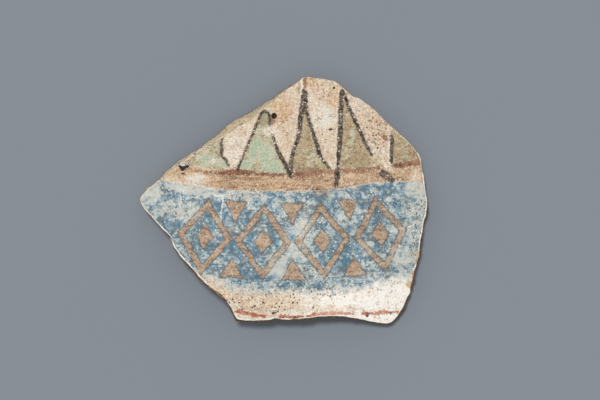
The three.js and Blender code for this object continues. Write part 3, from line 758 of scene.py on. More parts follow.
@dataclass(frozen=True)
class GroundFinish:
    """Cream slip over the clay, with its stains, worn places and pits."""

    cream: Colour = (211, 193, 169)
    sand: Colour = (184, 155, 124)
    pale: Colour = (234, 222, 203)
    rose: Colour = (182, 138, 108)
    white: Colour = (220, 213, 198)
    low: Colour = (251, 246, 237)
    straw: Colour = (207, 191, 150)
    peach: Colour = (224, 199, 168)
    chip: Colour = (247, 240, 226)
    khaki: Colour = (190, 176, 139)
    tan: Colour = (205, 166, 122)
    brown: Colour = (132, 95, 74)
    rust: Colour = (164, 112, 84)
    clay: Colour = (209, 177, 138)
    # Dark brown for the fine dark lines, and painted shade in the pits and voids
    pit: Colour = (62, 48, 40)
    relief_depth: float = 0.4

    def colour(self, s: Surface) -> Shade:
        """Builds the slip's colour, which every paint also shows where it has worn away.

        Args:
            s: Tree of the material that shows it.

        Returns:
            The colour.
        """
        mid, fine, brushed = s.cloud(4.2, 2), s.cloud(0.95, 3), s.cloud(1.3, 4, stretch=6)
        low, busy = s.value("low"), s.cloud(6.5, 16)
        white = (s.value("white") + 0.5 * mid + 0.35 * fine - 0.42).ease(0.1, 0.75)
        weave = 0.5 * s.cloud(0.8, 13, stretch=2.5) + 0.5 * s.cloud(3.6, 19, stretch=0.22)
        grains = weave.ease(0.5, 0.85) * (0.25 + 0.6 * busy)
        rosy = (s.value("rose") * 0.8 + 0.3 * busy * busy) * s.cloud(0.9, 6).ease(0.6, 0.9)
        brown = s.value("brown") + 0.5 * mid + 0.8 * fine - 0.65
        return s.layered(
            self.cream,
            (self.low, low),
            (self.straw, (0.7 * s.cloud(7.5, 17) + 0.3 * fine).ease(0.5, 0.9) * (0.55 - 0.5 * low)),
            (self.white, white * (0.9 - 0.9 * low)),
            (self.sand, (0.4 * mid + 0.4 * brushed + 0.2 * fine).ease(0.5, 0.85) * (0.45 - 0.35 * low)),
            (self.peach, (s.value("warm") + 0.6 * mid + 0.4 * fine - 0.5).ease(0.1, 0.9) * 0.8),
            (self.khaki, (s.value("khaki") + 0.5 * mid + 0.3 * fine - 0.4).ease(0.15, 0.65) * 0.9),
            (self.tan, (s.value("tan") + 0.5 * mid + 0.4 * fine - 0.45).ease(0.15, 0.8) * 0.85),
            (self.pale, weave.ease(0.5, 0.15) * 0.7),
            (self.sand, grains * (0.85 - 0.6 * low + 0.5 * s.value("warm")) * (1.0 - 0.7 * white)),
            (self.chip, s.cloud(0.6, 72).ease(0.3, 0.05) * 0.6),
            (self.brown, s.cloud(0.6, 73).ease(0.74, 0.98) * (0.5 - 0.2 * low)),
            (self.rose, rosy * (0.85 - 0.4 * low)),
            (self.brown, s.dots(1.25, 0.4, 0.42, 15) * (0.25 + 0.6 * busy)),
            (self.rust, s.dots(1.6, 0.62, 0.75, 76) * (1.4 * s.value("rose") - 0.8 * low - 0.1)),
            (self.chip, s.dots(1.15, 0.38, 0.3, 71) * (0.3 + 0.4 * busy)),
            (self.rose, s.lines(1.9, 0.05, 18, 2.0) * (0.35 * busy - 0.2 * low)),
            (self.brown, brown.ease(0.2, 0.95) * 0.8),
            (self.chip, (s.value("rim") + 0.6 * (mid - 0.5) + 0.4 * (fine - 0.5)).ease(0.35, 0.75) * 0.9),
            (self.clay, (s.value("bare") + 0.5 * (fine - 0.5)).ease(0.4, 0.6)),
            (self.pit, self.dark_lines(s)),
            (self.chip, s.drawn(SCRATCHES) * 0.85),
            # Painted shade in the pits, the crusted hole and the small voids
            (self.pit, self.pits(s)),
        )

    def dark_lines(self, s: Surface) -> Shade:
        """Gives 1 on the fine dark lines, which break up here and there."""
        return s.drawn(DARK_LINES) * s.cloud(1.1, 74).ease(0.15, 0.6) * 0.7

    def pits(self, s: Surface) -> Shade:
        """Gives the small voids where grit has fallen out and the large pits, where shade is painted dark and
        the relief sinks.

        Args:
            s: Tree of the material that shows them.

        Returns:
            1 in a void.
        """
        loose = s.dots(1.35, 0.52, 0.62, 5) * (s.cloud(9, 7) * 0.55 + s.value("grit")).ease(0.35, 0.8) * 0.9
        hole = (s.value("crusted") + 0.35 * (s.cloud(1.3, 8) - 0.5)).ease(0.45, 0.6)
        deep, speck = s.round_spot(ROUND_PIT, 1.2, 0.5), s.round_spot(DARK_SPECK, DARK_SPECK.wide, 0.3)
        return loose.highest(deep, speck, s.value("pit").ease(0.35, 0.65) * 0.9, hole)

    def relief(self, s: Surface) -> Shade:
        """Builds the slip's fine relief, from 0 in a pit to about 1."""
        grain = 0.3 * s.cloud(0.8, 9) + 0.25 * s.cloud(2.6, 10) + 0.2 * s.cloud(1.2, 11, stretch=6)
        return grain - 0.6 * self.pits(s)

    def material(self) -> bpy.types.Material:
        """Builds the slip's material."""
        s = Surface("white_ground")
        return s.finish(self.colour(s), 0.8 + 0.15 * s.cloud(3, 12), self.relief(s), self.relief_depth)


@dataclass(frozen=True)
class ClayFinish:
    """Fired clay, seen in the break, in the pits and on the inner face."""

    skin: Colour = (186, 146, 112)
    red: Colour = (160, 112, 84)
    core: Colour = (142, 122, 104)
    pale: Colour = (206, 182, 148)
    khaki: Colour = (226, 207, 174)
    # Dark brown of the painted shade along the top of the break, on the sides away from the lamp
    break_shade: Colour = (72, 57, 46)
    grit: Colour = (222, 208, 188)
    # Dark brown of the painted shade in the clay's pores
    void: Colour = (70, 53, 44)
    soot: Colour = (128, 108, 92)
    relief_depth: float = 0.6

    def material(self) -> bpy.types.Material:
        """Builds the clay's material.

        Returns:
            The finished material.
        """
        s = Surface("fired_clay")
        mid, fine, broad = s.cloud(3.4, 21), s.cloud(0.9, 22, detail=3), s.cloud(16, 23)
        # dirt carries the painted shade along the top of the break, made uneven by two mottles
        bevel, dirt = s.value("khaki"), s.value("break_shade") + 1.1 * (mid - 0.5) + 0.7 * (fine - 0.5)
        voids = s.dots(1.9, 0.5, 0.5, 7).highest(s.dots(4.4, 0.8, 0.3, 8))
        grits = s.dots(1.7, 0.4, 0.3, 9)
        inner = s.layered(
            self.pale,
            (self.skin, (0.5 * mid + 0.5 * s.cloud(1.8, 24, stretch=8)).ease(0.25, 0.8)),
            (self.soot, (0.7 * broad + 0.3 * fine).ease(0.5, 0.95) * 0.6),
            (self.red, s.cloud(0.9, 25).ease(0.6, 1.0) * 0.35),
        )
        body = s.layered(
            self.skin,
            (self.red, (0.6 * mid + 0.4 * fine).ease(0.3, 0.8)),
            (self.core, (s.value("core") + 0.5 * (mid - 0.5)).ease(0.35, 0.85) * 0.8),
            (self.khaki, (bevel + 0.7 * mid + 0.5 * fine - 0.6).ease(0.15, 0.7) * 0.95),
            (self.skin, bevel * (0.5 * s.cloud(1.2, 26) + 0.5 * s.cloud(4.5, 27)).ease(0.5, 0.85) * 0.6),
            # Painted shade: the top of the break is darkened on the sides away from the lamp
            (self.break_shade, dirt.ease(0.3, 1.1) * 0.8),
            (self.pale, fine.ease(0.3, 0.0) * 0.4),
            (inner, s.value("inner")),
            (self.grit, grits * 0.7),
            # Painted shade in the clay's pores
            (self.void, voids * 0.8),
        )
        grain = 0.4 * fine + 0.35 * mid + 0.2 * grits - 0.5 * voids
        return s.finish(body, 0.88 + 0.1 * fine, grain, self.relief_depth)


class Cover(Enum):
    """How a paint lies: laid over a whole zone, or drawn over the zones as a stroke."""

    ZONE = "zone"
    STROKE = "stroke"


@dataclass(frozen=True)
class PaintFinish:
    """One matt mineral paint, and how it has worn.

    Ragged says how uneven its edge is, loss how much of it is gone everywhere, and crumb how
    far it has gone in grains. Rim is the width of a darker rim in millimetres, hairs how
    strongly the brush shows, and outline the colour left between a stroke and the paint beside it.
    """

    name: str
    body: Colour
    light: Colour
    dark: Colour
    cover: Cover
    ragged: float = 0.5
    loss: float = 0.15
    crumb: float = 0.5
    rim: float = 0.0
    hairs: float = 0.0
    outline: Colour | None = None
    dirt: Colour = (66, 54, 47)
    ground: GroundFinish = GroundFinish()

    def tone(self, s: Surface) -> Shade:
        """Builds the paint's own colour.

        Args:
            s: Tree of the paint's material.

        Returns:
            The colour.
        """
        mid, fine = s.cloud(2.8, 31), s.cloud(0.85, 32)
        shadow = 0.5 * s.cloud(0.9, 33) + 0.5 * s.cloud(1.4, 34, stretch=5)
        brushed = s.lines(1.5, 0.07, 38, 9.0) * s.cloud(7, 39).ease(0.3, 0.7)
        worn, thin = s.value("worn") + 0.4 * (mid - 0.5), 0.35 if self.rim else 0.7
        coats = [
            (self.light, (0.4 * mid + 0.6 * fine).ease(0.42, 0.9) * 0.95),
            (self.dark, shadow.ease(0.4, 0.85)),
            (self.dark, brushed * self.hairs),
        ]
        if self.rim:
            coats.append((self.dark, s.value("edge").ease(self.rim, 0.1) * 0.7))
        coats.append((self.light, worn.ease(0.0, 0.6) * thin))
        if self.cover is Cover.ZONE:
            coats += [
                (self.dark, (s.value("brown") + 0.6 * (fine - 0.5)).ease(0.25, 0.9) * 0.7),
                (self.dirt, self.ground.dark_lines(s)),
                (self.ground.chip, s.cloud(0.6, 72).ease(0.22, 0.03) * 0.4),
                (self.dark, s.cloud(0.6, 73).ease(0.72, 0.97) * 0.6),
            ]
        grit = s.dots(1.15, 0.38, 0.45, 3) * (0.3 + 0.65 * s.value("grit"))
        return s.layered(self.body, *coats, (self.dirt, grit))

    def presence(self, s: Surface) -> Shade:
        """Gives where the paint is still there.

        Args:
            s: Tree of the paint's material.

        Returns:
            1 in the paint's body and 0 beyond its ragged edge.
        """
        fine, mid = s.cloud(0.75, 35), s.cloud(2.4, 36)
        border = s.value("edge") + self.ragged * (1.3 * (fine - 0.5) + 0.8 * (mid - 0.5))
        left = 1.0 - s.value("worn") - self.loss + self.crumb * 0.9 * (fine - 0.5) + 0.5 * (mid - 0.5)
        if self.cover is Cover.STROKE:
            left = left - 0.7 * s.drawn(SCRATCHES)
        chips = s.dots(1.1, 0.42, 0.5, 17) * (self.crumb * 0.9)
        return border.ease(-0.15, 0.2) * left.ease(0.25, 0.55) * (1 - chips)

    def outlined(self, s: Surface, tone: Shade, presence: Shade) -> tuple[Shade, Shade]:
        """Adds the seam where the ground's paint meets a stroke, and its loose flecks.

        Args:
            s: Tree of the paint's material.
            tone: The stroke's colour.
            presence: Where the stroke is.

        Returns:
            Colour and presence with the seam.
        """
        edge = s.value("edge")
        seam = edge + 0.5 * (s.cloud(1.6, 63) - 0.5)
        flecks = s.dots(1.15, 0.45, 0.42, 75) * seam.ease(-0.55, -0.2) * (0.9 if self.rim else 0.4)
        beside = seam.ease(-0.5, -0.3) * edge.ease(0.4, 0.1) * s.cloud(2.1, 64) * 0.7
        line = seam.ease(0.3 - self.rim, -self.rim) * 0.7
        return s.layered(tone, (self.outline, line), (self.outline, flecks)), presence.highest(beside, flecks)

    def material(self) -> bpy.types.Material:
        """Builds the paint's material.

        Returns:
            The finished material.
        """
        s = Surface(self.name)
        tone, presence = self.tone(s), self.presence(s)
        if self.cover is Cover.ZONE:
            tone = s.mix(self.ground.colour(s), tone, presence)
        else:
            if self.outline:
                tone, presence = self.outlined(s, tone, presence)
            s.feed(s.shader.inputs["Alpha"], presence)
        relief = self.ground.relief(s) + 0.15 * presence
        return s.finish(tone, 0.82 + 0.12 * s.cloud(2.2, 37), relief, self.ground.relief_depth)


@dataclass(frozen=True)
class BluePaintFinish(PaintFinish):
    """Powdery blue paint that has rubbed away, leaving white and dark grains."""

    deep: Colour = (86, 119, 138)
    wash: Colour = (170, 181, 180)
    grey: Colour = (102, 108, 107)
    chalk: Colour = (224, 227, 220)
    night: Colour = (56, 58, 58)
    haze: Colour = (190, 193, 185)

    def amount(self, s: Surface) -> Shade:
        """Gives how much blue is left.

        Args:
            s: Tree of the paint's material.

        Returns:
            0 where it is gone, 1 where it is thickest.
        """
        mid, fine, streak = s.cloud(3.6, 41), s.cloud(0.85, 42), s.cloud(1.2, 43, stretch=4)
        spread = 0.6 * s.cloud(1.7, 49) + 0.9 * mid + 0.35 * fine + 0.45 * streak - 1.15
        left = 0.5 + 0.42 * s.value("deep") - 0.62 * s.value("worn")
        left = left + spread * (1.0 - 0.4 * s.value("deep") - 0.35 * s.value("worn"))
        left = left - 0.6 * (s.value("fade") + 2.4 * (mid - 0.5)).ease(3.6, -2.6)
        return left - 0.6 * (s.value("edge") + 0.9 * (fine - 0.5)).ease(0.7, -0.2)

    def material(self) -> bpy.types.Material:
        """Builds the blue paint's material.

        Returns:
            The finished material.
        """
        s = Surface(self.name)
        left, fine, film = self.amount(s), s.cloud(0.9, 53), s.value("edge").ease(-3.4, -1.6)
        smudge = (0.5 * s.cloud(1.3, 44, stretch=2) + 0.5 * s.cloud(4.5, 50)).ease(0.46, 0.8)
        grey = s.value("grey") + 0.7 * (s.cloud(1.9, 51, stretch=2) - 0.5)
        stain = s.value("brown") + 0.5 * (s.cloud(1.1, 45) - 0.5)
        crowd = (s.cloud(6, 46) * 0.6 + s.value("grit")).ease(0.15, 0.75)
        night = s.dots(1.15, 0.42, 0.6, 12).highest(s.lines(1.3, 0.1, 52) * 0.6)
        flakes = s.dots(1.05, 0.4, 0.5, 13).highest(s.lines(1.6, 0.08, 54) * 0.6)
        tone = s.layered(
            self.ground.colour(s),
            (self.haze, left.ease(-1.2, -0.15) * film * 0.85),
            (self.wash, left.ease(-0.1, 0.3) * 0.9),
            (self.light, left.ease(0.2, 0.5)),
            (self.body, left.ease(0.4, 0.7)),
            (self.deep, left.ease(0.62, 1.0)),
            (self.grey, smudge * left.ease(-0.2, 0.4) * 0.7),
            (self.grey, grey.ease(0.3, 1.0) * 0.75),
            (self.ground.tan, stain.ease(0.5, 1.0) * 0.4),
            (self.night, night * crowd * 0.9),
            (self.chalk, flakes * s.cloud(5, 47).ease(0.1, 0.6) * 0.9),
            (self.chalk, s.drawn(SCRATCHES) * fine.ease(0.0, 0.35)),
        )
        relief = self.ground.relief(s) + 0.2 * left.ease(0.1, 0.6)
        return s.finish(tone, 0.84 + 0.12 * s.cloud(2.2, 48), relief, self.ground.relief_depth)


@dataclass(frozen=True)
class PetalFinish(PaintFinish):
    """Thin olive paint that is still green in places."""

    green: Colour = (157, 176, 145)
    mist: Colour = (194, 195, 172)

    def tone(self, s: Surface) -> Shade:
        """Builds the olive with its green and milky places.

        Args:
            s: Tree of the paint's material.

        Returns:
            The colour.
        """
        fine, mid = s.cloud(0.95, 51), s.cloud(2.6, 52)
        fresh = s.value("green") + 0.5 * (mid - 0.5) + 0.3 * (fine - 0.5)
        return s.layered(
            self.body,
            (self.light, (0.4 * mid + 0.6 * fine).ease(0.42, 0.9)),
            (self.dark, (0.5 * s.cloud(0.9, 53) + 0.5 * s.cloud(2.0, 54)).ease(0.42, 0.85)),
            (self.ground.rose, (0.5 * s.cloud(1.0, 56) + 0.5 * s.cloud(4.0, 57)).ease(0.55, 0.9) * 0.6),
            (self.ground.brown, s.lines(1.8, 0.06, 58) * s.cloud(5, 59).ease(0.3, 0.8) * 0.5),
            (self.mist, fresh.ease(0.1, 0.5) * 0.8),
            (self.green, (fresh + 0.5 * (s.cloud(1.4, 55) - 0.5)).ease(0.4, 0.95) * 0.85),
            (self.dark, (s.value("khaki") + 0.5 * (fine - 0.5)).ease(0.3, 0.8) * 0.8),
            (self.ground.brown, (s.value("brown") + 0.6 * (fine - 0.5)).ease(0.25, 0.9) * 0.7),
            (self.ground.chip, s.cloud(0.6, 72).ease(0.2, 0.02) * 0.4),
            (self.dark, s.cloud(0.6, 73).ease(0.74, 0.98) * 0.6),
            (self.dirt, s.dots(1.1, 0.3, 0.35, 14) * 0.6),
        )


@dataclass(frozen=True)
class CrustFinish:
    """White lime that has set in a pit."""

    lime: Colour = (238, 232, 222)
    shade: Colour = (160, 142, 132)
    dark: Colour = (58, 46, 44)
    relief_depth: float = 0.5

    def material(self) -> bpy.types.Material:
        """Builds the crust's material.

        Returns:
            The finished material.
        """
        s = Surface("lime_crust")
        fine, mid = s.cloud(0.7, 61), s.cloud(1.5, 62)
        shaded, deep = (0.5 * fine + 0.5 * mid).ease(0.45, 0.8), (0.3 * fine + 0.7 * mid).ease(0.74, 0.86)
        tone = s.layered(self.lime, (self.shade, shaded), (self.dark, deep))
        return s.finish(tone, 0.9 + 0.08 * fine, fine, self.relief_depth)


# Pieces


Look = tuple[PaintFinish, bpy.types.Material]


def put_in(name: str, data: bpy.types.ID) -> bpy.types.Object:
    """Puts something into the scene.

    Args:
        name: Name of the object.
        data: Its mesh, lamp or camera.

    Returns:
        The new object.
    """
    thing = bpy.data.objects.new(name, data)
    bpy.context.collection.objects.link(thing)
    return thing


def solid(name: str, bm: bmesh.types.BMesh, material: bpy.types.Material) -> bpy.types.Object:
    """Makes an object from a shape.

    Args:
        name: Name of the object and its mesh.
        bm: The finished shape, in metres, which is used up.
        material: Its finish.

    Returns:
        The new object, in the scene.
    """
    mesh = bpy.data.meshes.new(name)
    bm.to_mesh(mesh)
    bm.free()
    mesh.materials.append(material)
    return put_in(name, mesh)


@dataclass
class Piece:
    """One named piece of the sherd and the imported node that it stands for."""

    name: str
    node: str
    slot: str

    def add(self, bm: bmesh.types.BMesh, values: Values, material: bpy.types.Material) -> None:
        """Makes the object from its mesh, hangs it under the root body and hides the imported node.

        Args:
            bm: The finished shape, in metres.
            values: Values by name for the material, one for each vertex.
            material: The piece's finish.
        """
        thing = solid(self.name, bm, material)
        for key, numbers in values.items():
            layer = thing.data.attributes.new(key, "FLOAT", "POINT")
            layer.data.foreach_set("value", np.asarray(numbers, np.float32))
        thing.data.shade_smooth()
        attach(thing, "root")
        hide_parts(self.node)
        log.info("%s: %d faces", self.name, len(thing.data.polygons))


def plan_of(verts: Iterable[bmesh.types.BMVert]) -> np.ndarray:
    """Reads plan positions of vertices in millimetres, as the drawings give them."""
    return np.array([vert.co[:2] for vert in verts]) / MM - np.array(PLAN_SHIFT)


def box_round(points: np.ndarray, around: float) -> tuple[Point, Point]:
    """Gives the lowest and the highest corner of a box with some room around plan points."""
    return tuple(points.min(axis=0) - around), tuple(points.max(axis=0) + around)


def set_heights(verts: Iterable[bmesh.types.BMVert], z: np.ndarray) -> None:
    """Lifts vertices to heights in millimetres."""
    for vert, height in zip(verts, z):
        vert.co.z = height * MM


@dataclass
class Skin:
    """The painted face: its relief and what is known of each place on it.

    Depths are in millimetres: of the round pit, of the crusted pit and how far from its
    middle that can reach, of the small pits, and of the places where the slip has come off.
    """

    wall: JarWall
    edge: BrokenEdge
    round_depth: float = 2.4
    crust_depth: float = 1.5
    crust_reach: float = 6.0
    pit_depth: float = 0.35
    slip_depth: float = 0.42

    def bare(self, xy: np.ndarray) -> np.ndarray:
        """Gives where the slip has come off, from 0 to 1."""
        return smooth_step(patch_field(xy, EDGE_CHIPS) + 0.35 * rough(xy, 1.2, 15), 0.35, 0.6)

    def crust_hollow(self, xy: np.ndarray) -> np.ndarray:
        """Gives the depth of the crusted pit, which only places near it have.

        Args:
            xy: Plan positions, one a row.

        Returns:
            Depth in millimetres.
        """
        near = np.hypot(xy[:, 0] - CRUST_PIT.x, xy[:, 1] - CRUST_PIT.y) < self.crust_reach
        hollow = np.zeros(len(xy))
        deep = inside_depth(xy[near], np.array(CRUST_OUTLINE)) + 0.3 * rough(xy[near], 1.1, 16)
        hollow[near] = self.crust_depth * smooth_step(deep, -0.2, 0.7)
        return hollow

    def round_hollow(self, xy: np.ndarray) -> np.ndarray:
        """Gives the depth of the round pit at plan positions."""
        away = np.hypot(xy[:, 0] - ROUND_PIT.x, xy[:, 1] - ROUND_PIT.y)
        return self.round_depth * smooth_step(away, ROUND_PIT.wide + 0.15, ROUND_PIT.wide - 0.65)

    def hollow(self, xy: np.ndarray) -> np.ndarray:
        """Gives the depth of both large pits at plan positions."""
        return self.round_hollow(xy) + self.crust_hollow(xy)

    def relief(self, xy: np.ndarray) -> np.ndarray:
        """Gives how far the painted face stands off the plain slip.

        Args:
            xy: Plan positions, one a row.

        Returns:
            Height in millimetres, negative where it lies deeper.
        """
        waves = 0.10 * rough(xy, 9.0, 11) + 0.05 * rough(xy, 3.5, 12)
        small = self.pit_depth * patch_field(xy, SMALL_PITS)
        return waves - self.slip_depth * self.bare(xy) - self.hollow(xy) - small

    def top(self, xy: np.ndarray) -> np.ndarray:
        """Gives the height of the painted face over the floor in millimetres."""
        return self.wall.height(xy, self.wall.coat_top) + self.relief(xy)

    def values(self, xy: np.ndarray) -> Values:
        """Gives the ground's stains and worn places.

        Args:
            xy: Plan positions, one a row.

        Returns:
            Values by name, one for each position.
        """
        below = height_of(OCHRE_LOW, xy[:, 0]) - xy[:, 1]
        deeper = height_of(BLUE_LOW, xy[:, 0]) - xy[:, 1]
        pale = 1.0 - 0.85 * smooth_step(xy[:, 0], 24.0, -16.0) * smooth_step(deeper, -4.0, 2.0)
        seen = 1 - 0.8 * self.edge.beside(xy, Side.UPPER) - 0.6 * self.edge.beside(xy, Side.BARED)
        return {name: patch_field(xy, places) for name, places in STAINS.items()} | {
            "rim": smooth_step(self.edge.face_depth(xy), 0.9, 0.1) * seen,
            "bare": self.bare(xy),
            "crusted": smooth_step(self.crust_hollow(xy), 0.1, 1.2),
            "low": pale * (0.5 * smooth_step(below, -1.0, 3.0) + 0.5 * smooth_step(deeper, -6.0, 2.0)),
        }


@dataclass
class Body:
    """The fired clay wall and the slip over it, both drawn as rings round the crown."""

    wall: JarWall
    edge: BrokenEdge
    skin: Skin
    face_rings: int = 96
    break_rings: int = 18
    inner_rings: int = 44
    under_rings: int = 26
    # Turning marks on the inner face
    wheel_pitch: float = 1.05
    wheel_depth: float = 0.16
    # Points closer than this become one, in metres
    weld_distance: float = 2e-6
    # How far the slip's two faces reach, as a share of the way to its rim
    face_reach: float = 0.994
    under_reach: float = 0.996
    # How far beyond a pit the slip gets more points, and how far those are laid anew
    finer_round: float = 1.6
    laid_round: float = 1.2
    # The largest face that they make there, in square metres
    finer_area: float = 0.3e-6
    # How far the slip's edge stands out, and how far down, on its way round
    slip_edge: Points = ((0.05, 0.02), (0.2, 0.12), (0.28, 0.28), (0.24, 0.42))

    def closed(self, rows: list[np.ndarray]) -> bmesh.types.BMesh:
        """Makes one closed shape from rings that begin and end at the crown.

        Args:
            rows: Scene positions of each ring, all with the same number of points.

        Returns:
            The closed shape, with its faces pointing out.
        """
        across, up = len(rows[0]), len(rows) - 1
        table = np.array([np.vstack([row, row[:1]]) for row in rows])
        bm = bmesh.new()
        bmesh.ops.create_grid(bm, x_segments=across, y_segments=up, size=1.0)
        for vert in bm.verts:
            vert.co = table[round((vert.co.y + 1) / 2 * up), round((vert.co.x + 1) / 2 * across)]
        bmesh.ops.remove_doubles(bm, verts=bm.verts, dist=self.weld_distance)
        bmesh.ops.recalc_face_normals(bm, faces=bm.faces)
        return bm

    def inwards(self, rim: np.ndarray, shares: np.ndarray) -> list[np.ndarray]:
        """Gives rings of plan positions, from 0 at the crown to 1 at the rim."""
        crown = np.array(self.wall.crown)
        return [crown + (rim - crown) * share for share in shares]

    def break_face(self, rim: np.ndarray, foot: np.ndarray) -> list[np.ndarray]:
        """Gives the rings down the break, which swells out and is rough.

        Args:
            rim: The clay's upper edge.
            foot: The clay's lower edge.

        Returns:
            Scene positions of each ring.
        """
        ring, rows = self.edge.ring(), []
        proud = 1.0 - self.edge.beside(ring, Side.LAMP_SIDE)
        top, low = self.wall.height(rim), self.wall.height(foot, -self.wall.thickness)
        for share in np.linspace(0.0, 1.0, self.break_rings + 2)[1:-1]:
            xy, z = rim * (1 - share) + foot * share, top * (1 - share) + low * share
            # The break swells most above its middle, and is rounded off at both edges
            swell = (0.5 + 0.75 * proud) * math.sin(math.pi * share**0.6)
            slanted = ring + np.column_stack([0.8 * z, -0.6 * z])
            grain = rough(slanted, 1.6, 21) + 0.8 * rough(slanted, 5.0, 22) + 0.5 * rough(slanted, 0.9, 23)
            rounded = 0.35 * math.cos(math.pi * share) ** 8
            out = swell * (0.2 + 0.7 * proud + (0.75 - 0.4 * proud) * grain)
            rows.append(self.wall.place(self.edge.towards_crown(xy, rounded - out), z))
        return rows

    def clay(self) -> bmesh.types.BMesh:
        """Models the clay wall with its rough break and its turned inner face.

        Returns:
            The closed wall, which stands on the floor.
        """
        ring = self.edge.ring()
        face, under = self.edge.slope(ring)
        rim, foot = self.edge.towards_crown(ring, face), self.edge.towards_crown(ring, under)
        rows = []
        for xy in self.inwards(rim, np.linspace(0.0, 1.0, self.face_rings)):
            sunk = self.skin.hollow(xy) + 0.05 * self.skin.bare(xy)
            rows.append(self.wall.place(xy, self.wall.height(xy) - sunk))
        rows += self.break_face(rim, foot)
        shares = np.linspace(1.0, 0.0, self.inner_rings)
        for share, xy in zip(shares, self.inwards(foot, shares)):
            phase = self.wall.latitude(xy) / self.wheel_pitch + 1.5 * rough(xy, 30, 31)
            marks = self.wheel_depth * np.sin(phase) + 0.12 * rough(xy, 5.0, 32)
            z = self.wall.height(xy, -self.wall.thickness)
            rows.append(self.wall.place(xy, z + (1.0 - 0.8 * share**12) * marks))
        bm = self.closed(rows)
        for vert in bm.verts:
            vert.co.z = max(vert.co.z, 0.0)
        return bm

    def slip(self) -> bmesh.types.BMesh:
        """Models the slip as a thin layer with a soft broken edge.

        Returns:
            The closed layer.
        """
        ring = self.edge.ring()
        rim = self.edge.towards_crown(ring, self.edge.slope(ring)[0] + self.edge.coat_setback)
        chipped = 0.2 * (1 + rough(ring, 2.3, 41))
        rows = []
        for xy in self.inwards(rim, np.linspace(0.0, self.face_reach, self.face_rings)):
            rows.append(self.wall.place(xy, self.skin.top(xy)))
        for out, drop in self.slip_edge:
            xy = self.edge.towards_crown(rim, chipped - out)
            z = self.wall.height(xy, self.wall.coat_top - drop) + self.skin.relief(xy)
            rows.append(self.wall.place(xy, z))
        for xy in self.inwards(rim, np.linspace(self.under_reach, 0.0, self.under_rings)):
            z = self.wall.height(xy, self.wall.coat_base)
            rows.append(self.wall.place(xy, z - self.skin.hollow(xy)))
        bm = self.closed(rows)
        self.refine(bm, ROUND_PIT, 3)
        self.refine(bm, CRUST_PIT, 2)
        return bm

    def beyond(self, one: bmesh.types.BMFace, pit: Patch) -> float:
        """Measures how far a face lies beyond a pit's border, in millimetres."""
        centre = one.calc_center_median() / MM
        return math.hypot(centre.x - pit.x - PLAN_SHIFT[0], centre.y - pit.y - PLAN_SHIFT[1]) - pit.high

    def refine(self, bm: bmesh.types.BMesh, pit: Patch, cuts: int) -> None:
        """Gives the slip enough points round a pit for its wall to be round.

        Args:
            bm: The slip.
            pit: Where the pit lies.
            cuts: Cuts across every edge there.
        """
        bm.normal_update()
        near = [one for one in bm.faces if one.normal.z > 0.2 and self.beyond(one, pit) < self.finer_round]
        edges = list({edge for one in near for edge in one.edges})
        bmesh.ops.subdivide_edges(bm, edges=edges, cuts=cuts, use_grid_fill=True)
        near = [one for one in bm.faces if one.normal.z > 0.0 and self.beyond(one, pit) < self.laid_round]
        verts = list({vert for one in near if one.calc_area() < self.finer_area for vert in one.verts})
        set_heights(verts, self.skin.top(plan_of(verts)))

    def clay_values(self, bm: bmesh.types.BMesh) -> Values:
        """Gives what the clay's material reads from its mesh.

        Args:
            bm: The clay wall.

        Returns:
            Values by name, one for each vertex.
        """
        bm.normal_update()
        xy, z, up = plan_of(bm.verts), *np.array([(v.co.z / MM, v.normal.z) for v in bm.verts]).T
        top, low = self.wall.height(xy), self.wall.height(xy, -self.wall.thickness)
        depth = (top - z) / (top - low)
        near = smooth_step(inside_depth(xy, self.edge.ring()), 2.4, 0.8)
        # Painted shade: near the outline the top of the break is darkened on the sides away from the lamp,
        # less where the clay is bare
        shaded_side = (1.0 - self.edge.beside(xy, Side.LAMP_SIDE)) * (1.5 - 0.7 * self.edge.beside(xy, Side.BARED))
        bevel = self.edge.beside(xy, Side.UPPER_LEFT) * smooth_step(depth, 1.25, 0.8)
        return {
            "core": 1.0 - np.abs(depth - 0.5) * 2.2,
            "inner": smooth_step(-up, 0.55, 0.85) * smooth_step(depth, 0.8, 0.95),
            "khaki": bevel - patch_field(xy, STAINS["brown"]),
            "break_shade": smooth_step(depth, 0.9, 0.05) * near * shaded_side,
        }

    def build(self, clay: ClayFinish, ground: GroundFinish) -> None:
        """Adds the clay wall and the slip.

        Args:
            clay: Finish of the clay.
            ground: Finish of the slip.
        """
        bm = self.clay()
        Piece("clay_wall_sherd", "clay_wall", "fired_clay").add(bm, self.clay_values(bm), clay.material())
        bm = self.slip()
        values = self.skin.values(plan_of(bm.verts))
        Piece("white_ground_slip", "white_ground", "white_ground").add(bm, values, ground.material())


@dataclass
class Drawing:
    """One flat shape that is painted: the box it lies in and how deep each place is in it.

    Step is the spacing of its points, lift its height over the slip, and margin how far the
    film goes on beyond the shape, all in millimetres. Places are further values by name.
    """

    piece: Piece
    low: Point
    high: Point
    depth: Field
    step: float
    lift: float
    margin: float
    places: dict[str, Field]


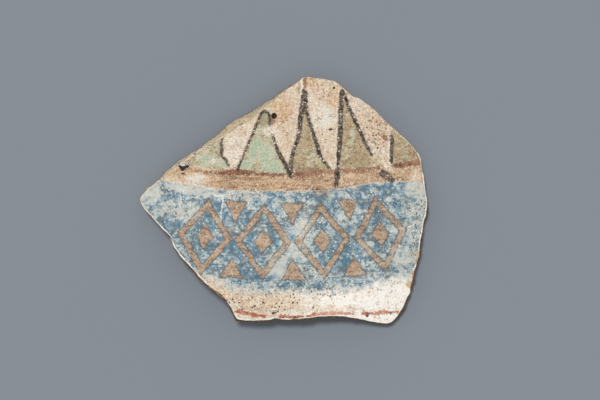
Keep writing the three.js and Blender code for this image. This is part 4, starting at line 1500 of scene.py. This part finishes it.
@dataclass
class PaintLayer:
    """Lays flat paints and brush strokes as thin films on the painted face."""

    wall: JarWall
    edge: BrokenEdge
    skin: Skin
    thickness: float = 0.05
    # How far a film's border dips into the slip
    tuck: float = 0.03
    # How far the film and the paint on it stay inside the slip's edge
    rim_gap: float = 0.2
    paint_gap: float = 0.35

    def sheet(self, drawing: Drawing) -> bmesh.types.BMesh:
        """Starts a flat sheet over a drawing's box, in scene metres.

        Args:
            drawing: What is to be painted.

        Returns:
            The flat sheet.
        """
        low, high = np.array(drawing.low), np.array(drawing.high)
        size, middle = (high - low) * MM, ((low + high) / 2 + np.array(PLAN_SHIFT)) * MM
        across, up = (max(2, round(length / drawing.step)) for length in high - low)
        bm = bmesh.new()
        bmesh.ops.create_grid(bm, x_segments=across, y_segments=up, size=0.5)
        bmesh.ops.scale(bm, vec=Vector((*size, 1.0)), verts=bm.verts)
        bmesh.ops.translate(bm, vec=Vector((*middle, 0.0)), verts=bm.verts)
        return bm

    def lay(self, drawing: Drawing, finish: PaintFinish, material: bpy.types.Material) -> None:
        """Cuts a sheet to its drawing, lays it on the painted face and adds it.

        Args:
            drawing: What is to be painted.
            finish: The paint.
            material: The paint's material.
        """
        bm = self.sheet(drawing)
        xy = plan_of(bm.verts)
        inside = np.minimum(drawing.depth(xy) + drawing.margin, self.edge.face_depth(xy, self.rim_gap))
        beyond = [vert for vert, deep in zip(list(bm.verts), inside) if deep < 0]
        bmesh.ops.delete(bm, geom=beyond, context="VERTS")
        bmesh.ops.delete(bm, geom=[vert for vert in bm.verts if not vert.link_faces], context="VERTS")
        xy = plan_of(bm.verts)
        settle = smooth_step(self.edge.face_depth(xy, self.rim_gap), 0.0, 0.6)
        settle = settle * smooth_step(drawing.depth(xy) + drawing.margin, 0.0, max(0.8, drawing.margin))
        set_heights(bm.verts, self.skin.top(xy) + drawing.lift * settle - self.tuck * (1 - settle))
        bm.normal_update()
        if sum(one.normal.z for one in bm.faces) < 0:
            bmesh.ops.reverse_faces(bm, faces=bm.faces)
        if finish.cover is Cover.ZONE:
            bmesh.ops.solidify(bm, geom=bm.faces[:], thickness=self.thickness * MM)
        drawing.piece.add(bm, self.values(plan_of(bm.verts), drawing), material)

    def values(self, xy: np.ndarray, drawing: Drawing) -> Values:
        """Gives what a paint's material reads from its mesh.

        Args:
            xy: Plan positions, one a row.
            drawing: What is painted there.

        Returns:
            Values by name, one for each position.
        """
        lost = np.maximum(self.skin.bare(xy), smooth_step(self.skin.hollow(xy), 0.05, 0.6))
        border = np.minimum(drawing.depth(xy), self.edge.face_depth(xy, self.paint_gap))
        values = {"edge": np.minimum(border, 1.2 - 2.4 * lost), "worn": np.zeros(len(xy))}
        return values | self.skin.values(xy) | {key: reader(xy) for key, reader in drawing.places.items()}


def between(top: Points, low: Points, drop: float) -> Field:
    """Makes the depth field of a zone between two painted borders.

    Args:
        top: Upper border.
        low: Lower border.
        drop: How far the zone stays below the upper border, in millimetres.

    Returns:
        Function that gives how deep plan positions lie between the borders.
    """
    def depth(xy: np.ndarray) -> np.ndarray:
        """Gives the depth between the borders."""
        return np.minimum(height_of(top, xy[:, 0]) - drop - xy[:, 1], xy[:, 1] - height_of(low, xy[:, 0]))

    return depth


@dataclass
class Bands:
    """The ochre band and the wide blue band."""

    layer: PaintLayer
    step: float = 0.5

    def ochre(self) -> None:
        """Adds the ochre band."""
        paint = PaintFinish(
            "ochre_paint", (191, 158, 124), (221, 191, 158), (140, 109, 82), Cover.ZONE,
            ragged=0.9, loss=0.12, crumb=0.85, hairs=0.9,
        )
        places = {"worn": lambda xy: patch_field(xy, WORN_OCHRE)}
        piece = Piece("ochre_band_film", "ochre_band", "ochre_paint")
        shape = between(OCHRE_TOP, OCHRE_LOW, -0.9)
        drawing = Drawing(piece, (-66, 2), (66, 20), shape, self.step, lift=0.10, margin=0.8, places=places)
        self.layer.lay(drawing, paint, paint.material())

    def blue(self) -> None:
        """Adds the blue band."""
        paint = BluePaintFinish("blue_paint", (114, 140, 153), (143, 165, 173), (84, 112, 128), Cover.ZONE)
        places = {
            "worn": lambda xy: patch_field(xy, WORN_BLUE),
            "deep": lambda xy: patch_field(xy, DEEP_BLUE),
            "grey": lambda xy: patch_field(xy, GREY_BLUE),
            "fade": lambda xy: xy[:, 1] - height_of(BLUE_LOW, xy[:, 0]),
        }
        piece = Piece("blue_band_film", "blue_band", "blue_paint")
        shape = between(OCHRE_LOW, BLUE_LOW, 0.2)
        drawing = Drawing(piece, (-66, -46), (66, 12), shape, self.step, lift=0.08, margin=3.6, places=places)
        self.layer.lay(drawing, paint, paint.material())

    def build(self) -> None:
        """Adds both bands."""
        self.ochre()
        self.blue()


@dataclass
class Petals:
    """The olive and green fills of the petal frieze."""

    layer: PaintLayer
    step: float = 0.5
    lift: float = 0.06
    margin: float = 1.2
    around: float = 1.6
    green_count: int = 2
    outlines: tuple[Points, ...] = (
        ((-50, 18.6), (-46, 21.5), (-42, 24), (-34, 29), (-27.6, 32.5), (-26.8, 28), (-27.0, 20.5),
         (-25.2, 17.2), (-26, 13.8), (-35, 14.6), (-44, 16.4)),
        ((-10.0, 39.4), (-6.4, 39.4), (-5.2, 34.6), (-5.0, 29.4), (-3.8, 25.6), (-1.2, 20.0), (1.5, 15.5),
         (3.0, 11.4), (-8, 11.6), (-20.0, 13.0), (-17.2, 20.2), (-14.4, 27.0), (-11.0, 35.2)),
        ((9.9, 44.6), (10.9, 43.0), (11.6, 39.0), (13.2, 32.6), (15.6, 25.9), (18.4, 18.3), (20.8, 13.6),
         (12, 11.4), (4.0, 11.8), (4.4, 17.2), (5.6, 22.6), (7.6, 28.2), (8.2, 36.2), (9.2, 43.6)),
        ((26.9, 46.4), (28.7, 44.0), (31.2, 38.2), (34.3, 31.1), (37.0, 25.2), (39.4, 19.0), (38.6, 13.6),
         (32, 13.4), (24.8, 12.8), (25.4, 22.7), (25.9, 31.7), (26.2, 40.6)),
        ((48.8, 30.6), (52, 30.4), (57, 26.6), (63.0, 21.6), (63.0, 17.0), (55, 15.6), (48.9, 14.4),
         (49.1, 24)),
    )

    def build(self) -> None:
        """Adds every petal's fill, the green ones first."""
        green, olive = (
            PetalFinish(name, *colours, Cover.ZONE, ragged=0.7, loss=0.1)
            for name, colours in (
                ("green_paint", ((178, 170, 138), (207, 201, 176), (144, 135, 106))),
                ("khaki_paint", ((172, 155, 120), (197, 181, 148), (134, 116, 88))),
            )
        )
        looks = {paint.name: paint.material() for paint in (green, olive)}
        places = {
            "worn": lambda xy: 0.8 * patch_field(xy, STAINS["white"]),
            "green": lambda xy: patch_field(xy, GREEN_PLACES),
        }
        for i, points in enumerate(self.outlines, 1):
            paint = green if i <= self.green_count else olive
            outline = curve_through(points + points[:1], 1.5)[:-1]
            piece = Piece(f"petal_fill_{i}_film", f"petal_fill_{i}", paint.name)
            box, shape = box_round(outline, self.around), partial(inside_depth, outline=outline)
            drawing = Drawing(piece, *box, shape, self.step, self.lift, self.margin, places)
            self.layer.lay(drawing, paint, looks[paint.name])


@dataclass(frozen=True)
class Stroke:
    """One pull of the brush: the points that it passed and its width.

    Wear gives how much paint is gone, and press shares of the width, both at even steps.
    Reach is the share of the width that the paint covers to either side.
    """

    points: Points
    width: float
    wear: tuple[float, ...] = (0.0, 0.0)
    press: tuple[float, ...] = (1.0, 1.0, 0.7)
    reach: float = 0.46

    def along(self, steps: tuple[float, ...], passed: np.ndarray) -> np.ndarray:
        """Reads press or wear at shares of the stroke's length."""
        return np.interp(passed, np.linspace(0.0, 1.0, len(steps)), steps)

    def half(self, passed: np.ndarray) -> np.ndarray:
        """Gives half the painted width at shares of the stroke's length."""
        return self.reach * self.width * self.along(self.press, passed)


BLACK: dict[str, Stroke] = {
    "petal_stroke_1_right": Stroke(
        ((-26.7, 32.1), (-27.0, 28.0), (-27.1, 20.5), (-25.5, 18.2), (-24.2, 15.2)),
        1.3, (0.05, 0.25, 0.1, 0.3), (1.2, 0.9, 1.0, 0.8),
    ),
    "petal_stroke_2_left": Stroke(
        ((-5.8, 34.0), (-5.6, 37.2), (-7.0, 39.3), (-9.3, 39.2), (-11.1, 34.9), (-14.7, 26.3), (-17.4, 20.0),
         (-19.7, 14.2)),
        1.3, (0.35, 0.05, 0.1, 0.35, 0.3, 0.15), (0.7, 1.1, 1.1, 0.8, 0.8, 0.9),
    ),
    "petal_stroke_2_right": Stroke(
        ((-4.4, 28.6), (-3.5, 25.9), (-1.2, 20.0), (1.5, 15.5), (3.2, 12.0)),
        1.6, (0.45, 0.1, 0.05, 0.0), (0.55, 1.0, 1.0, 1.2),
    ),
    "petal_stroke_3_left": Stroke(
        ((9.7, 48.6), (9.2, 44.0), (8.5, 39.6), (7.9, 36.2), (7.3, 28.6), (5.1, 22.7), (3.9, 17.0),
         (3.8, 11.0)),
        2.0, (0.1, -0.1, 0.0, 0.05, 0.5, 0.1, 0.25, 0.2, 0.1), (1.1, 1.2, 1.1, 1.0, 0.9, 0.75, 0.85, 1.1),
    ),
    "petal_stroke_3_right": Stroke(
        ((10.2, 48.4), (10.3, 43.0), (10.8, 39.0), (12.7, 32.6), (14.8, 25.9), (17.6, 18.3), (21.2, 14.0)),
        1.6, (0.1, -0.1, 0.15, 0.25, 0.1, 0.1, 0.4), (1.2, 1.1, 0.9, 1.1, 1.0, 0.5),
    ),
    "petal_stroke_4_left": Stroke(
        ((26.7, 48.8), (26.1, 40.7), (25.8, 31.7), (25.2, 22.7), (24.5, 13.4)),
        2.0, (0.3, 0.1, 0.15, 0.5, 0.1, 0.1, 0.2, 0.1, 0.1, 0.1, 0.3), (1.1, 1.0, 1.1, 1.1, 1.0, 0.8, 0.6),
    ),
    "petal_stroke_4_right": Stroke(
        ((27.3, 48.4), (28.5, 45.0), (29.8, 41.0), (31.2, 38.4), (34.3, 31.3), (37.0, 25.4), (39.8, 20.0)),
        1.5, (0.2, 0.1, 0.15, 0.1, 0.2), (0.8, 1.0, 1.1, 1.0, 0.7),
    ),
    "petal_stroke_5_left": Stroke(((48.7, 28.6), (48.9, 24.0), (48.7, 16.8)), 1.7, (0.1, 0.3, 0.25)),
    "petal_foot_4": Stroke(((24.4, 13.4), (24.3, 10.0), (23.9, 6.0)), 2.2, (0.1, 0.0, 0.2)),
    "petal_foot_5": Stroke(((44.6, 12.0), (46.8, 10.8), (48.8, 9.0)), 3.4, (0.3, 0.35, 0.3)),
}
UPPER_RED: dict[str, Stroke] = {
    "upper_red_line_1": Stroke(
        ((-38.8, 13.2), (-32.7, 12.0), (-26.6, 12.2)), 1.5, (0.6, 0.35, 0.1), (0.7, 0.8, 1.0)
    ),
    "upper_red_line_2": Stroke(
        ((-27.2, 12.3), (-20, 12.5), (-14, 12.0), (-7, 11.4), (3.0, 11.0)),
        2.3, (-0.1, -0.1, 0.0, 0.2, 0.3), (1.1, 1.2, 0.9, 0.65, 0.65, 0.6),
    ),
    "upper_red_line_3": Stroke(
        ((6.0, 11.4), (18, 12.4), (26.2, 13.0), (34, 13.6), (45.4, 14.6)),
        2.2, (0.3, 0.35, 0.2, 0.55, 0.4, 0.3, 0.0, 0.1), (1.3, 1.2, 0.9, 0.9, 0.65, 0.6, 0.6),
    ),
    "upper_red_line_4": Stroke(
        ((50.4, 15.4), (55, 16.1), (61.6, 17.1)), 2.2, (0.05, 0.15, 0.2), (0.9, 1.1, 1.0)
    ),
}
LOWER_RED: dict[str, Stroke] = {
    "lower_red_line_1": Stroke(((-20.4, -49.6), (-14.7, -50.8), (-7.6, -52.0)), 1.7, (0.0, 0.1, 0.1)),
    "lower_red_line_2": Stroke(
        ((-1.0, -51.7), (4, -52.2), (8.5, -52.3), (12.8, -51.7)), 1.5, (0.1, 0.0, 0.2)
    ),
    "lower_red_line_3": Stroke(((14.0, -51.2), (24, -50.6), (31.2, -50.7)), 1.8, (0.3, 0.66, 0.6)),
    "lower_red_line_4": Stroke(
        ((36.4, -50.7), (39.9, -50.8), (46, -50.2), (51.7, -50.2)), 1.7, (0.05, 0.2, 0.7, 0.6, 0.1, 0.3)
    ),
}


@dataclass
class BrushStrokes:
    """The black outlines of the petals and the red border lines."""

    layer: PaintLayer
    step: float = 0.32
    margin: float = 0.9
    around: float = 0.6
    waver: float = 0.14

    def draw(self, name: str, slot: str, stroke: Stroke, lift: float, look: Look) -> None:
        """Adds one brush stroke.

        Args:
            name: Name of the node that it stands for.
            slot: Name of its material slot, which the piece keeps but nothing uses.
            stroke: Its path, width and wear.
            lift: Height of the stroke over the slip.
            look: The paint and its material.
        """
        line = curve_through(stroke.points, 0.6)

        def depth(xy: np.ndarray) -> np.ndarray:
            """Gives the depth inside the stroke, which thins at its end."""
            away, passed = line_distance(xy, line)
            return stroke.half(passed) - away + self.waver * rough(xy, 2.6, 61)

        places = {"worn": lambda xy: stroke.along(stroke.wear, line_distance(xy, line)[1])}
        piece = Piece(f"{name}_brushed", name, slot)
        box = box_round(np.vstack([line - stroke.width, line + stroke.width]), self.around)
        self.layer.lay(Drawing(piece, *box, depth, self.step, lift, self.margin, places), *look)

    def build(self) -> None:
        """Adds every stroke, the red ones first."""
        red = PaintFinish(
            "red_paint", (143, 98, 77), (180, 138, 112), (92, 62, 50), Cover.STROKE,
            ragged=0.9, loss=-0.05, crumb=0.6,
        )
        bright = PaintFinish(
            "red_paint_low", (190, 112, 86), (220, 166, 140), (136, 76, 58), Cover.STROKE,
            ragged=0.55, loss=-0.1, crumb=0.5,
        )
        black = PaintFinish(
            "black_paint", (86, 75, 66), (140, 125, 110), (40, 31, 27), Cover.STROKE,
            ragged=0.45, loss=0.0, crumb=0.8, rim=0.3, outline=(228, 216, 198),
        )
        kinds = (
            (UPPER_RED, "red_paint", 0.16, red), (LOWER_RED, "red_paint", 0.16, bright),
            (BLACK, "black_paint", 0.2, black),
        )
        for strokes, slot, lift, paint in kinds:
            look = (paint, paint.material())
            for name, stroke in strokes.items():
                self.draw(name, slot, stroke, lift, look)


@dataclass
class LozengeChain:
    """The tan ornament on the blue band: lozenges with hearts, and half lozenges between.

    Heart and half are widths and heights in millimetres, shift moves the whole chain along
    the girth, and wander and fringe are how uneven its edges are, broadly and finely.
    """

    layer: PaintLayer
    width: float = 25.0
    height: float = 34.0
    stroke: float = 2.5
    gap: float = 1.5
    heart: tuple[float, float] = (8.0, 11.0)
    half: tuple[float, float] = (10.0, 9.0)
    shift: float = 4.0
    latitude: float = 27.6
    count: int = 4
    step: float = 0.4
    lift: float = 0.18
    margin: float = 1.0
    around: float = 1.4
    wander: float = 0.3
    fringe: float = 0.22

    def shape(self, along: float, corners: Points) -> np.ndarray:
        """Gives the plan outline of a straight-sided shape on the jar.

        Args:
            along: Where its middle lies along the girth.
            corners: Its corners, along the girth and up the side, from that middle.

        Returns:
            Plan outline with a few points on every side.
        """
        ring = []
        for (a, b), (c, d) in zip(corners, corners[1:] + corners[:1]):
            for share in (0.0, 0.25, 0.5, 0.75):
                point = (along + a + (c - a) * share, b + (d - b) * share)
                ring.append(self.layer.wall.on_chain(*point, self.latitude))
        return np.array(ring)

    def lozenge(self, along: float, width: float, height: float) -> np.ndarray:
        """Gives the plan outline of one lozenge."""
        half, rise = width / 2, height / 2
        return self.shape(along, ((0, rise), (half, 0), (0, -rise), (-half, 0)))

    def add(self, name: str, outline: np.ndarray, look: Look, line: float = 0.0) -> None:
        """Adds one mark of the chain.

        Args:
            name: Name of the node that the mark stands for.
            outline: Plan outline.
            look: The paint and its material.
            line: Width of the drawn line, or 0 for a solid mark.
        """
        def depth(xy: np.ndarray) -> np.ndarray:
            """Gives the depth inside the mark, whose edge wanders a little."""
            deep = inside_depth(xy, outline) + self.wander * rough(xy, 3.4, 71)
            return (np.minimum(deep, line - deep) if line else deep) + self.fringe * rough(xy, 1.5, 72)

        places = {"worn": lambda xy: 0.6 * patch_field(xy, WORN_BLUE) + 0.1 * rough(xy, 4.0, 73)}
        piece, box = Piece(f"{name}_mark", name, "tan_paint"), box_round(outline, self.around)
        self.layer.lay(Drawing(piece, *box, depth, self.step, self.lift, self.margin, places), *look)

    def build(self) -> None:
        """Adds the whole chain."""
        tan = PaintFinish(
            "tan_paint", (178, 150, 124), (206, 184, 160), (134, 108, 88), Cover.STROKE,
            ragged=0.85, loss=0.1, crumb=0.6, outline=(98, 102, 102),
        )
        look, spacing = (tan, tan.material()), self.width + self.gap
        for i in range(self.count):
            along = self.shift + (i - (self.count - 1) / 2) * spacing
            self.add(f"lozenge_{i + 1}", self.lozenge(along, self.width, self.height), look, self.stroke)
            self.add(f"lozenge_heart_{i + 1}", self.lozenge(along, *self.heart), look)
        half, deep, rise = self.half[0] / 2, self.half[1], self.height / 2
        for i in range(self.count - 1):
            along = self.shift + (i - (self.count - 2) / 2) * spacing
            upper = self.shape(along, ((-half, rise), (0, rise - deep), (half, rise)))
            lower = self.shape(along, ((-half, -rise), (half, -rise), (0, deep - rise)))
            self.add(f"half_lozenge_upper_{i + 1}", upper, look)
            self.add(f"half_lozenge_lower_{i + 1}", lower, look)


@dataclass
class LimeCrust:
    """The white crust at the upper side of the pit at the left.

    It is a ball that is stretched along and up the sherd by spread and flattened until half
    its height is depth. Shift is its place from the pit's middle, and sunk how far it sits in.
    """

    wall: JarWall
    diameter: float = 3.6
    depth: float = 0.8
    spread: tuple[float, float] = (1.45, 0.6)
    shift: tuple[float, float] = (0.5, 2.1)
    sunk: float = 0.2

    def build(self, finish: CrustFinish) -> None:
        """Adds the crust as a lumpy, flattened ball.

        Args:
            finish: Finish of the crust.
        """
        bm = bmesh.new()
        bmesh.ops.create_icosphere(bm, subdivisions=5, radius=self.diameter / 2 * MM)
        bmesh.ops.scale(bm, vec=(*self.spread, 2 * self.depth / self.diameter), verts=bm.verts)
        centre = np.array([[CRUST_PIT.x + self.shift[0], CRUST_PIT.y + self.shift[1]]])
        place = self.wall.place(centre, self.wall.height(centre) - self.sunk)[0]
        bmesh.ops.translate(bm, vec=place, verts=bm.verts)
        xy = plan_of(bm.verts)
        for vert, lump in zip(bm.verts, 0.4 * rough(xy, 1.1, 81) + 0.25 * rough(xy, 0.5, 82)):
            vert.co += vert.normal * float(lump) * MM
        Piece("lime_crust_lump", "lime_crust", "lime_crust").add(bm, {}, finish.material())


@dataclass
class Studio:
    """Floor, light and camera.

    Sizes are in metres, the lens and its sensor in millimetres, and the lamp's width in degrees.
    """

    floor_colour: Colour = (127, 133, 140)
    floor_size: float = 6.0
    lamp_power: float = 2.0
    lamp_width: float = 11.0
    lamp_way: tuple[float, float, float] = (0.12, -0.3, -1.2)
    surround: tuple[float, float, float, float] = (0.97, 0.98, 1.0, 1.0)
    surround_power: float = 0.54
    lens: float = 150.0
    sensor: float = 36.0
    seen_width: float = 0.2692
    aim: tuple[float, float] = (0.0076, 0.0)
    aim_height: float = 0.010

    def floor(self) -> None:
        """Lays a wide plain floor that the sherd rests on."""
        bm = bmesh.new()
        bmesh.ops.create_grid(bm, x_segments=1, y_segments=1, size=self.floor_size)
        s = Surface("floor")
        finish = s.finish(self.floor_colour, 0.9 + 0.05 * s.cloud(30, 93), s.cloud(2, 92), 0.02)
        solid("floor", bm, finish)

    def light(self) -> None:
        """Sets one soft key lamp, a little to the upper left, and an even surrounding light."""
        sun = bpy.data.lights.new("key", "SUN")
        sun.energy, sun.angle = self.lamp_power, math.radians(self.lamp_width)
        put_in("key", sun).rotation_euler = Vector(self.lamp_way).to_track_quat("-Z", "Y").to_euler()
        world = bpy.data.worlds.new("studio")
        world.use_nodes = True
        light = world.node_tree.nodes["Background"].inputs
        light["Color"].default_value, light["Strength"].default_value = self.surround, self.surround_power
        bpy.context.scene.world = world

    def camera(self) -> None:
        """Places the camera straight above, with the neck side at the top of the picture."""
        data = bpy.data.cameras.new("camera")
        data.lens, data.sensor_width = self.lens, self.sensor
        thing = put_in("camera", data)
        thing.location = (*self.aim, self.aim_height + self.lens / self.sensor * self.seen_width)
        bpy.context.scene.camera = thing

    def build(self) -> None:
        """Sets up the whole studio."""
        self.floor()
        self.light()
        self.camera()
        bpy.context.scene.view_settings.view_transform = "Standard"


def main() -> None:
    """Builds the sherd layer by layer."""
    logging.basicConfig(level=logging.INFO, format="%(message)s")
    wall = JarWall()
    edge = BrokenEdge(wall)
    skin = Skin(wall, edge)
    Studio().build()
    Body(wall, edge, skin).build(ClayFinish(), GroundFinish())
    layer = PaintLayer(wall, edge, skin)
    Bands(layer).build()
    Petals(layer).build()
    BrushStrokes(layer).build()
    LozengeChain(layer).build()
    LimeCrust(wall).build(CrustFinish())


if __name__ == "__main__":
    main()
